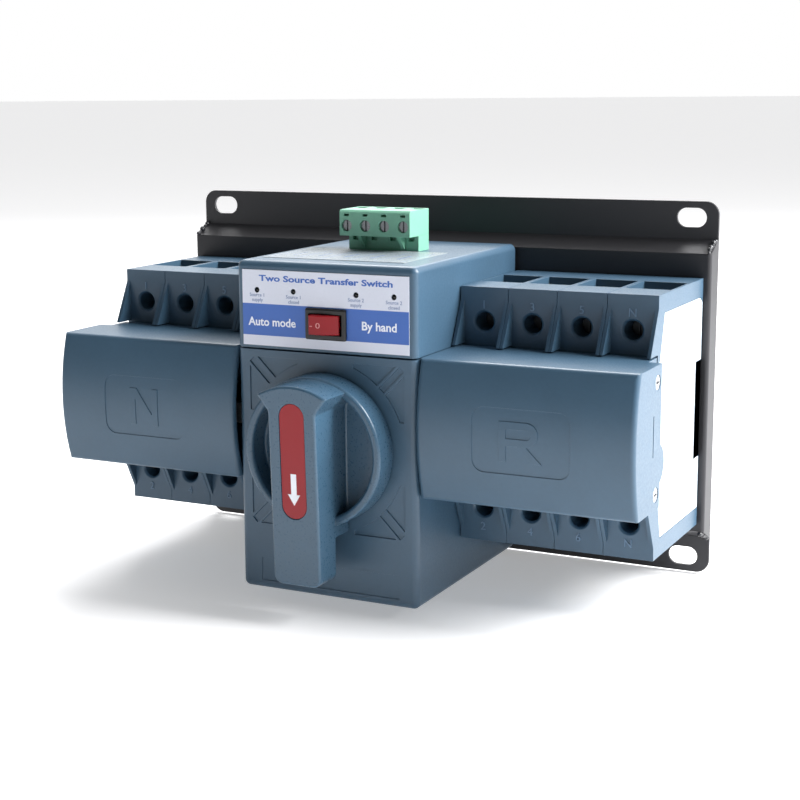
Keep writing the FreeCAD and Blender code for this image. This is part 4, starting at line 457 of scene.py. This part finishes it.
@dataclass
class SoftenedParts:
    """Frame parts whose moulded edges need a radius that the frame leaves out.

    Attributes:
        radii: node to the radius of its edges, in millimetres.
        recessed: parts whose flat faces are full of recesses and stay in triangles.
        cavity_radius: the fillet between the floor of the handle's ring and its walls.
        cavity_depth: how far the floor of the ring is from the wall.
    """

    radii: dict[str, float] = field(default_factory=lambda: {
        "lower_housing": 0.12, "upper_housing": 0.3, "cover_left": 0.1, "cover_right": 0.1,
        "end_plate_left": 0.3, "end_plate_right": 0.3, "rocker_frame": 0.2,
        "terminal_header": 0.15, "terminal_plug": 0.15, "back_plate": 0.25,
        "handle_grip": 0.3, "handle_inlay": 0.12, "din_clip_left": 0.3, "din_clip_right": 0.3,
        "rocker_button": 0.12,
        **{f"pole_{side}_{n}": 0.14 for side in ("left", "right") for n in range(1, 5)}})
    recessed: tuple[str, ...] = ("lower_housing",)
    cavity_radius: float = 1.6
    cavity_depth: float = 102.7

    def build(self) -> None:
        """Make a softened copy of each part and let it stand for the frame's own."""
        for node, radius in self.radii.items():
            piece = self._copy(node, node not in self.recessed)
            if node == "handle_grip":
                self._fillet_cavity(piece)
            self._soften(piece, radius * MM)
            fit(piece, finish_of(node), NODE_BODY[node], [node])

    @staticmethod
    def _copy(node: str, dissolve: bool) -> bpy.types.Object:
        """Copy a part's mesh and close its seams.

        Args:
            node: the frame's node.
            dissolve: whether the triangles of a flat face become one face.

        Returns:
            The new piece, at the origin.
        """
        bpy.ops.object.select_all(action="DESELECT")
        mesh = frame["nodes"][node].data.copy()
        piece = bpy.data.objects.new(node + "_moulding", mesh)
        bpy.context.scene.collection.objects.link(piece)
        only(piece)
        bpy.ops.mesh.customdata_custom_splitnormals_clear()
        bpy.ops.object.mode_set(mode="EDIT")
        bpy.ops.mesh.select_all(action="SELECT")
        bpy.ops.mesh.remove_doubles(threshold=MERGE)
        if dissolve:
            bpy.ops.mesh.dissolve_limited(angle_limit=math.radians(FLAT_DEGREES))
        bpy.ops.object.mode_set(mode="OBJECT")
        return piece

    def _fillet_cavity(self, piece: bpy.types.Object) -> None:
        """Round the foot of every wall that stands on the floor of the handle's ring."""
        only(piece)
        bpy.ops.object.mode_set(mode="EDIT")
        bpy.ops.mesh.select_mode(type="EDGE")
        shape = bmesh.from_edit_mesh(piece.data)
        floor = -self.cavity_depth * MM
        for edge in shape.edges:
            on_floor = all(abs(v.co.y - floor) < 1e-5 for v in edge.verts)
            edge.select_set(on_floor and len(edge.link_faces) == 2 and not edge.is_convex)
        bmesh.update_edit_mesh(piece.data)
        bpy.ops.mesh.bevel(offset=self.cavity_radius * MM, segments=4, clamp_overlap=True)
        bpy.ops.mesh.select_mode(type="FACE")
        bpy.ops.object.mode_set(mode="OBJECT")

    @staticmethod
    def _soften(piece: bpy.types.Object, radius: float) -> None:
        """Round a piece's sharp edges and keep its flat faces flat."""
        modify(piece, "BEVEL", width=radius, segments=2, limit_method="ANGLE",
               angle_limit=math.radians(38), use_clamp_overlap=False,
               miter_outer="MITER_ARC")
        smooth(piece, 30.0)
        modify(piece, "WEIGHTED_NORMAL", weight=100, keep_sharp=True)


# ---------------------------------------------------------------- printed labels

@dataclass
class FrontLabel:
    """The printed sheet above the handle: a blue band on white, words and lamp captions.

    Sizes are in millimetres: X, height, and depth in front of the wall.
    """

    depth: float = 100.3
    ink: float = 0.05
    band_low: float = 26.7
    band_high: float = 37.9
    title: str = "Two Source Transfer Switch"
    captions: tuple[tuple[str, float], ...] = (
        ("Source 1\nsupply", -26.6), ("Source 1\nclosed", -12.0),
        ("Source 2\nsupply", 12.5), ("Source 2\nclosed", 26.9))

    def build(self) -> None:
        """Print the sheet and its words."""
        self._sheet()
        self._word("label_title", self.title, 2.05, (0.4, 47.0), 52.2, INK_BLUE, 0.045)
        self._word("label_word_left", "Auto mode", 2.9, (-20.75, 31.6), 19.1, INK_WHITE, 0.03)
        self._word("label_word_right", "By hand", 2.9, (21.3, 31.8), 13.2, INK_WHITE, 0.03)
        for number, (words, x) in enumerate(self.captions):
            self._word(f"label_caption_{number}", words, 1.2, (x, 39.95), None, INK_GREY, 0.02)

    def _sheet(self) -> None:
        """Copy the sheet, part it at the band's edges and colour the band."""
        node = "front_label"
        mesh = frame["nodes"][node].data.copy()
        sheet = bpy.data.objects.new("front_label_print", mesh)
        bpy.context.scene.collection.objects.link(sheet)
        only(sheet)
        bpy.ops.mesh.customdata_custom_splitnormals_clear()
        bpy.ops.object.mode_set(mode="EDIT")
        for level in (self.band_low, self.band_high):
            bpy.ops.mesh.select_all(action="SELECT")
            bpy.ops.mesh.bisect(plane_co=(0, 0, level * MM), plane_no=(0, 0, 1))
        bpy.ops.mesh.select_all(action="SELECT")
        bpy.ops.mesh.remove_doubles(threshold=MERGE)
        bpy.ops.object.mode_set(mode="OBJECT")
        fit(sheet, LABEL_SHEET, "root", [node])
        sheet.data.materials.append(INK_BLUE.material())
        for face in sheet.data.polygons:
            high = face.center.z / MM
            face.material_index = int(self.band_low < high < self.band_high
                                      and face.normal.y < -FACE_ALONG)

    def _word(self, name: str, words: str, height: float, at: tuple[float, float],
              width: Optional[float], ink: Finish, weight: float) -> None:
        """Print words about a point of the sheet."""
        piece = lettering(name, words, height * MM, (at[0] * MM, -self.depth * MM, at[1] * MM),
                          self.ink * MM, weight=weight, width=width and width * MM)
        fit(piece, ink)


@dataclass
class TopLabel:
    """The wiring table on top of the box: ruled rows with short generic entries.

    Attributes:
        level: height of the sheet's upper side, in millimetres.
        left: where the sheet starts.
        right: where it ends.
        back: depth of the first rule.
        front: depth of the last rule.
        rows: rows of cells.
        columns: columns of cells.
        line: width of a rule.
        margin: from the sheet's side to the outer rules.
        entry: height of a number.
        ink: thickness of a rule.
    """

    level: float = 53.15
    left: float = -30.5
    right: float = 25.5
    back: float = 60.0
    front: float = 88.5
    rows: int = 7
    columns: int = 5
    line: float = 0.18
    margin: float = 2.0
    entry: float = 1.1
    ink: float = 0.03

    def build(self) -> None:
        """Rule the table and write a number in each of its cells."""
        step = (self.front - self.back) / self.rows
        for row in range(self.rows + 1):
            depth = self.back + step * row
            self._rule(f"table_row_{row}", (self.left + self.margin, depth),
                       (self.right - self.margin, depth))
        pitch = (self.right - self.left - 2 * self.margin) / self.columns
        for column in range(self.columns + 1):
            x = self.left + self.margin + pitch * column
            self._rule(f"table_column_{column}", (x, self.back), (x, self.front))
            if column == self.columns:
                continue
            entries = "\n".join(f"{column * self.rows + row + 1}" for row in range(self.rows))
            centre = (x + pitch / 2, (self.back + self.front) / 2)
            piece = lettering(f"table_entries_{column}", entries, self.entry * MM,
                              (centre[0] * MM, -centre[1] * MM, self.level * MM), 0.04 * MM,
                              Facing.TOP)
            fit(piece, INK_GREY)

    def _rule(self, name: str, start: tuple[float, float], end: tuple[float, float]) -> None:
        """Rule one line between two (x, depth) points and round its ends."""
        half = self.line / 2
        rule = slab(name, ((start[0] - half) * MM, (-end[1] - half) * MM, self.level * MM),
                    ((end[0] + half) * MM, (half - start[1]) * MM, (self.level + self.ink) * MM))
        modify(rule, "BEVEL", width=0.02 * MM, segments=1)
        fit(rule, INK_GREY)


# ------------------------------------------------------------- handle and rocker

@dataclass
class PointerArrow:
    """The white arrow printed on the red inlay of the handle.

    Attributes:
        top: height of the arrow's tail.
        neck: where the head starts.
        tip: the arrow's point.
        shaft: width of the shaft.
        head: width of the head.
        ink: half the arrow's thickness.
        lift: how far its middle stands off the inlay.
        front: depth of the bar's front at its upper end, less what the inlay is sunk.
        slope_top: height where the bar's front starts to fall.
        slope: how much depth the front loses per millimetre of height.
    """

    top: float = -16.1
    neck: float = -23.3
    tip: float = -27.1
    shaft: float = 2.1
    head: float = 4.7
    ink: float = 0.05
    lift: float = 0.02
    front: float = 124.75
    slope_top: float = 17.1
    slope: float = 3.0 / 74.9

    def build(self) -> None:
        """Model the arrow from a block and lay it on the slope."""
        half, thick = self.shaft / 2 * MM, self.ink * MM
        arrow = slab("pointer_arrow", (-half, -thick, self.neck * MM), (half, thick, self.top * MM))
        only(arrow)
        bpy.ops.object.mode_set(mode="EDIT")
        bpy.ops.mesh.select_mode(type="FACE")
        pick(arrow, lambda centre, normal: normal.z < -FACE_ALONG)
        middle = (0, 0, self.neck * MM)
        bpy.ops.mesh.extrude_region_move(TRANSFORM_OT_translate={"value": (0, 0, 0)})
        bpy.ops.transform.resize(value=(self.head / self.shaft, 1, 1), center_override=middle)
        bpy.ops.mesh.extrude_region_move(
            TRANSFORM_OT_translate={"value": (0, 0, (self.tip - self.neck) * MM)})
        bpy.ops.transform.resize(value=(0.02, 1, 1), center_override=(0, 0, self.tip * MM))
        bpy.ops.object.mode_set(mode="OBJECT")
        for vertex in arrow.data.vertices:
            fall = self.slope * (self.slope_top - vertex.co.z / MM)
            vertex.co.y -= (self.front - fall + self.lift) * MM
        fit(arrow, INK_WHITE, "handle")


@dataclass
class RockerMarks:
    """The dash and the nought moulded on the left half of the rocker."""

    x: float = -1.75
    z: float = 31.9
    depth: float = 103.8
    height: float = 1.9
    width: float = 4.0
    relief: float = 0.06

    def build(self) -> None:
        """Raise the marks a little off the button."""
        marks = lettering("rocker_marks", "- 0", self.height * MM,
                          (self.x * MM, -self.depth * MM, self.z * MM), self.relief * MM,
                          width=self.width * MM)
        fit(marks, MARK_PINK, "rocker")


# -------------------------------------------------------------------- breakers

@dataclass
class PoleMarks:
    """The terminal numbers moulded beside the screw holes of the eight poles."""

    face: float = 64.2
    top_z: float = 36.8
    bottom_z: float = -43.4
    height: float = 2.9
    relief: float = 0.3

    def build(self) -> None:
        """Mark each pole above its upper hole and below its lower one."""
        for side in ("left", "right"):
            for number, (high, low) in enumerate(zip("135N", "246N"), start=1):
                place = number if side == "right" else 5 - number
                near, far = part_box(f"pole_{side}_{place}")
                x = (near.x + far.x) / 2
                for name, mark, z in (("top", high, self.top_z), ("bottom", low, self.bottom_z)):
                    piece = lettering(f"pole_mark_{side}_{number}_{name}", mark,
                                      self.height * MM, (x, -self.face * MM, z * MM),
                                      self.relief * MM)
                    # the paler digit colour is a painted highlight on the raised relief
                    fit(piece, DIGIT_PAINTED_HIGHLIGHT)


@dataclass
class SideRivets:
    """The hollow rivets that close the breakers, seen in the white end plates.

    Attributes:
        places: depth and height of each rivet, in millimetres.
        radius: radius of a head.
        proud: how far a head stands out.
        rim: width of its rim over its radius.
        dish: depth of its hollow over its height.
    """

    places: tuple[tuple[float, float], ...] = ((20.4, 28.0), (22.7, -21.4))
    radius: float = 1.7
    proud: float = 0.25
    rim: float = 0.35
    dish: float = 0.8

    def build(self) -> None:
        """Set two rivets in each end plate."""
        for side, sign in (("left", -1), ("right", 1)):
            low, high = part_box(f"end_plate_{side}")
            x = (high.x if sign > 0 else low.x) + sign * self.proud * MM / 2
            for number, (depth, z) in enumerate(self.places):
                rivet = drum(f"rivet_{side}_{number}", (x, -depth * MM, z * MM),
                             self.radius * MM, self.proud * MM, Facing.RIGHT)
                self._dish(rivet, sign)
                # the greyer rivet colour is painted shade round the rivet
                fit(rivet, RIVET_PAINTED_SHADE)

    def _dish(self, rivet: bpy.types.Object, sign: int) -> None:
        """Sink the middle of a rivet's outer face and round its rim."""
        only(rivet)
        bpy.ops.object.mode_set(mode="EDIT")
        bpy.ops.mesh.select_mode(type="FACE")
        pick(rivet, lambda centre, normal: normal.x * sign > 0.9)
        bpy.ops.mesh.inset(thickness=self.radius * self.rim * MM)
        bpy.ops.mesh.extrude_region_move(
            TRANSFORM_OT_translate={"value": (-sign * self.proud * self.dish * MM, 0, 0)})
        bpy.ops.object.mode_set(mode="OBJECT")
        modify(rivet, "BEVEL", width=0.06 * MM, segments=2, limit_method="ANGLE")
        smooth(rivet)


# ------------------------------------------------------------------ back plate

@dataclass
class WeldBeads:
    """The weld beads that close the four corner notches of the folded plate.

    Attributes:
        start: (x, depth, z) of the first blob on the right at the top.
        end: (x, depth, z) of the last one.
        blobs: how many blobs make one bead.
        radius: mean radius of a blob.
        swell: how much a blob's size and side place vary.
        sway: how much its height varies, in millimetres.
        grain: size of the cells that melt the blobs into one.
    """

    start: Point = (109.2, 2.0, 55.6)
    end: Point = (108.8, 9.4, 52.4)
    blobs: int = 6
    radius: float = 1.15
    swell: float = 0.25
    sway: float = 0.35
    grain: float = 0.22

    def build(self) -> None:
        """Run a bead in each corner."""
        for number, (sx, sz) in enumerate(((1, 1), (-1, 1), (1, -1), (-1, -1))):
            self._bead(number, sx, sz)

    def _bead(self, number: int, sx: int, sz: int) -> None:
        """Run one bead of overlapping blobs, each of its own size."""
        blobs = []
        for step in range(self.blobs):
            share = step / (self.blobs - 1)
            x, depth, z = (a + (b - a) * share for a, b in zip(self.start, self.end))
            wobble = math.sin(step * 2.3 + number)
            bpy.ops.object.select_all(action="DESELECT")
            bpy.ops.mesh.primitive_ico_sphere_add(
                subdivisions=2, radius=self.radius * (1 + self.swell * wobble) * MM,
                location=((x - self.swell * wobble) * sx * MM, -depth * MM,
                          (z + self.sway * wobble) * sz * MM))
            blob = bpy.context.object
            blob.scale = (0.75, 1.0, 0.8)
            blobs.append(settle(blob))
        only(blobs[0])
        for blob in blobs:
            blob.select_set(True)
        bpy.ops.object.join()
        bead = bpy.context.object
        bead.name = f"weld_bead_{number}"
        modify(bead, "REMESH", mode="VOXEL", voxel_size=self.grain * MM)
        modify(bead, "SMOOTH", factor=0.5, iterations=2)
        smooth(bead, 60.0)
        fit(bead, WELD)


def dress_frame_nodes() -> None:
    """Give every part of the frame its finish, before some are replaced."""
    for name, node in frame["nodes"].items():
        dress(node, finish_of(name))


# ------------------------------------------------------------------ camera, light

@dataclass(frozen=True)
class Softbox:
    """A square soft light.

    Attributes:
        name: the light's name.
        place: where it hangs, in metres.
        aim: the point it looks at.
        size: length of its side.
        watts: its power.
    """

    name: str
    place: Point
    aim: Point
    size: float
    watts: float

    def build(self) -> None:
        """Hang the light and turn it to its aim."""
        bpy.ops.object.light_add(type="AREA", location=self.place)
        light = bpy.context.object
        light.name = self.name
        light.data.energy, light.data.size = self.watts, self.size
        light.rotation_mode = "QUATERNION"
        way = Vector(self.aim) - Vector(self.place)
        light.rotation_quaternion = way.to_track_quat("-Z", "Y")


@dataclass
class Studio:
    """Camera, light and floor.

    Attributes:
        place: the camera's place, in metres.
        azimuth: its turn about the vertical, in degrees.
        elevation: how far it looks down.
        roll: its lean.
        lens: focal length on a 36 mm sensor.
        shift: lens shift, across and up.
        softboxes: a bright one on the right and a weaker one behind on the left.
        near_wall: brightness of the room behind the camera.
        far_wall: brightness of the room behind the object.
        floor_side: length of the floor.
        floor_gap: from the lowest edge of the plate down to the floor.
        floor_glow: light that the floor gives off itself.
    """

    place: Point = (0.26716, -0.59192, 0.11277)
    azimuth: float = 27.833
    elevation: float = 10.475
    roll: float = -0.652
    lens: float = 73.71
    shift: tuple[float, float] = (0.0698, -0.0141)
    softboxes: tuple[Softbox, ...] = (
        Softbox("softbox_right", (0.95, 0.22, 0.72), (0.0, -0.08, 0.0), 0.7, 40.0),
        Softbox("softbox_top", (-0.35, 0.75, 0.9), (0.0, -0.06, 0.0), 0.7, 14.0))
    near_wall: float = 0.12
    far_wall: float = 1.0
    floor_side: float = 40.0
    floor_gap: float = 0.0006
    floor_glow: float = 0.34

    def build(self) -> None:
        """Set up the camera, the lights and the floor."""
        self._camera()
        self._lights()
        self._floor()

    def _camera(self) -> None:
        """Put the camera at its place and turn."""
        bpy.ops.object.camera_add(location=self.place)
        camera = bpy.context.object
        turn, rise = math.radians(self.azimuth), math.radians(self.elevation)
        back = Vector((math.sin(turn) * math.cos(rise), -math.cos(turn) * math.cos(rise),
                       math.sin(rise)))
        aim = (-back).to_track_quat("-Z", "Y")
        camera.rotation_mode = "QUATERNION"
        camera.rotation_quaternion = aim @ Quaternion((0, 0, 1), math.radians(self.roll))
        camera.data.sensor_width = 36.0
        camera.data.lens = self.lens
        camera.data.shift_x, camera.data.shift_y = self.shift
        camera.data.clip_start = 0.01
        bpy.context.scene.camera = camera

    def _lights(self) -> None:
        """Hang the softboxes and paint the room."""
        for softbox in self.softboxes:
            softbox.build()
        self._room(front=self.near_wall, back=self.far_wall)

    @staticmethod
    def _room(front: float, back: float) -> None:
        """Make a room whose far wall is white and whose near side is dim.

        Args:
            front: brightness of the side behind the camera.
            back: brightness of the wall behind the object.
        """
        world = bpy.data.worlds.new("white_room")
        world.use_nodes = True
        tree = world.node_tree
        tree.nodes.clear()
        way = put(tree, "ShaderNodeTexCoord").outputs["Generated"]
        split = put(tree, "ShaderNodeSeparateXYZ", links={0: way})
        level = put(tree, "ShaderNodeMapRange", {"interpolation_type": "SMOOTHSTEP"},
                    From_Min=-0.35, From_Max=0.35, To_Min=front, To_Max=back,
                    links={"Value": split.outputs["Y"]})
        background = put(tree, "ShaderNodeBackground", Color=(1.0, 1.0, 1.0, 1.0),
                         links={"Strength": level.outputs[0]})
        put(tree, "ShaderNodeOutputWorld", links={"Surface": background.outputs[0]})
        bpy.context.scene.world = world
        bpy.context.scene.view_settings.view_transform = "Standard"

    def _floor(self) -> None:
        """Lay a plain pale floor just under the plate."""
        bpy.ops.object.select_all(action="DESELECT")
        lowest = CAD_BOX[0][2]
        bpy.ops.mesh.primitive_plane_add(size=self.floor_side,
                                         location=(0, 0, lowest - self.floor_gap))
        floor = bpy.context.object
        floor.name = "floor"
        material = bpy.data.materials.new("pale_floor")
        material.use_nodes = True
        shader = material.node_tree.nodes["Principled BSDF"]
        shader.inputs["Base Color"].default_value = (0.84, 0.84, 0.85, 1.0)
        shader.inputs["Roughness"].default_value = 0.9
        shader.inputs["Emission Color"].default_value = (1.0, 1.0, 1.0, 1.0)
        shader.inputs["Emission Strength"].default_value = self.floor_glow
        floor.data.materials.append(material)


def main() -> None:
    """Build the whole scene in order."""
    logging.basicConfig(level=logging.INFO, format="%(name)s: %(message)s")
    Studio().build()
    dress_frame_nodes()
    for part in (SoftenedParts(), FrontLabel(), TopLabel(), PointerArrow(), RockerMarks(),
                 PoleMarks(), SideRivets(), WeldBeads()):
        log.info("building %s", type(part).__name__)
        part.build()


if __name__ == "__main__":
    main()
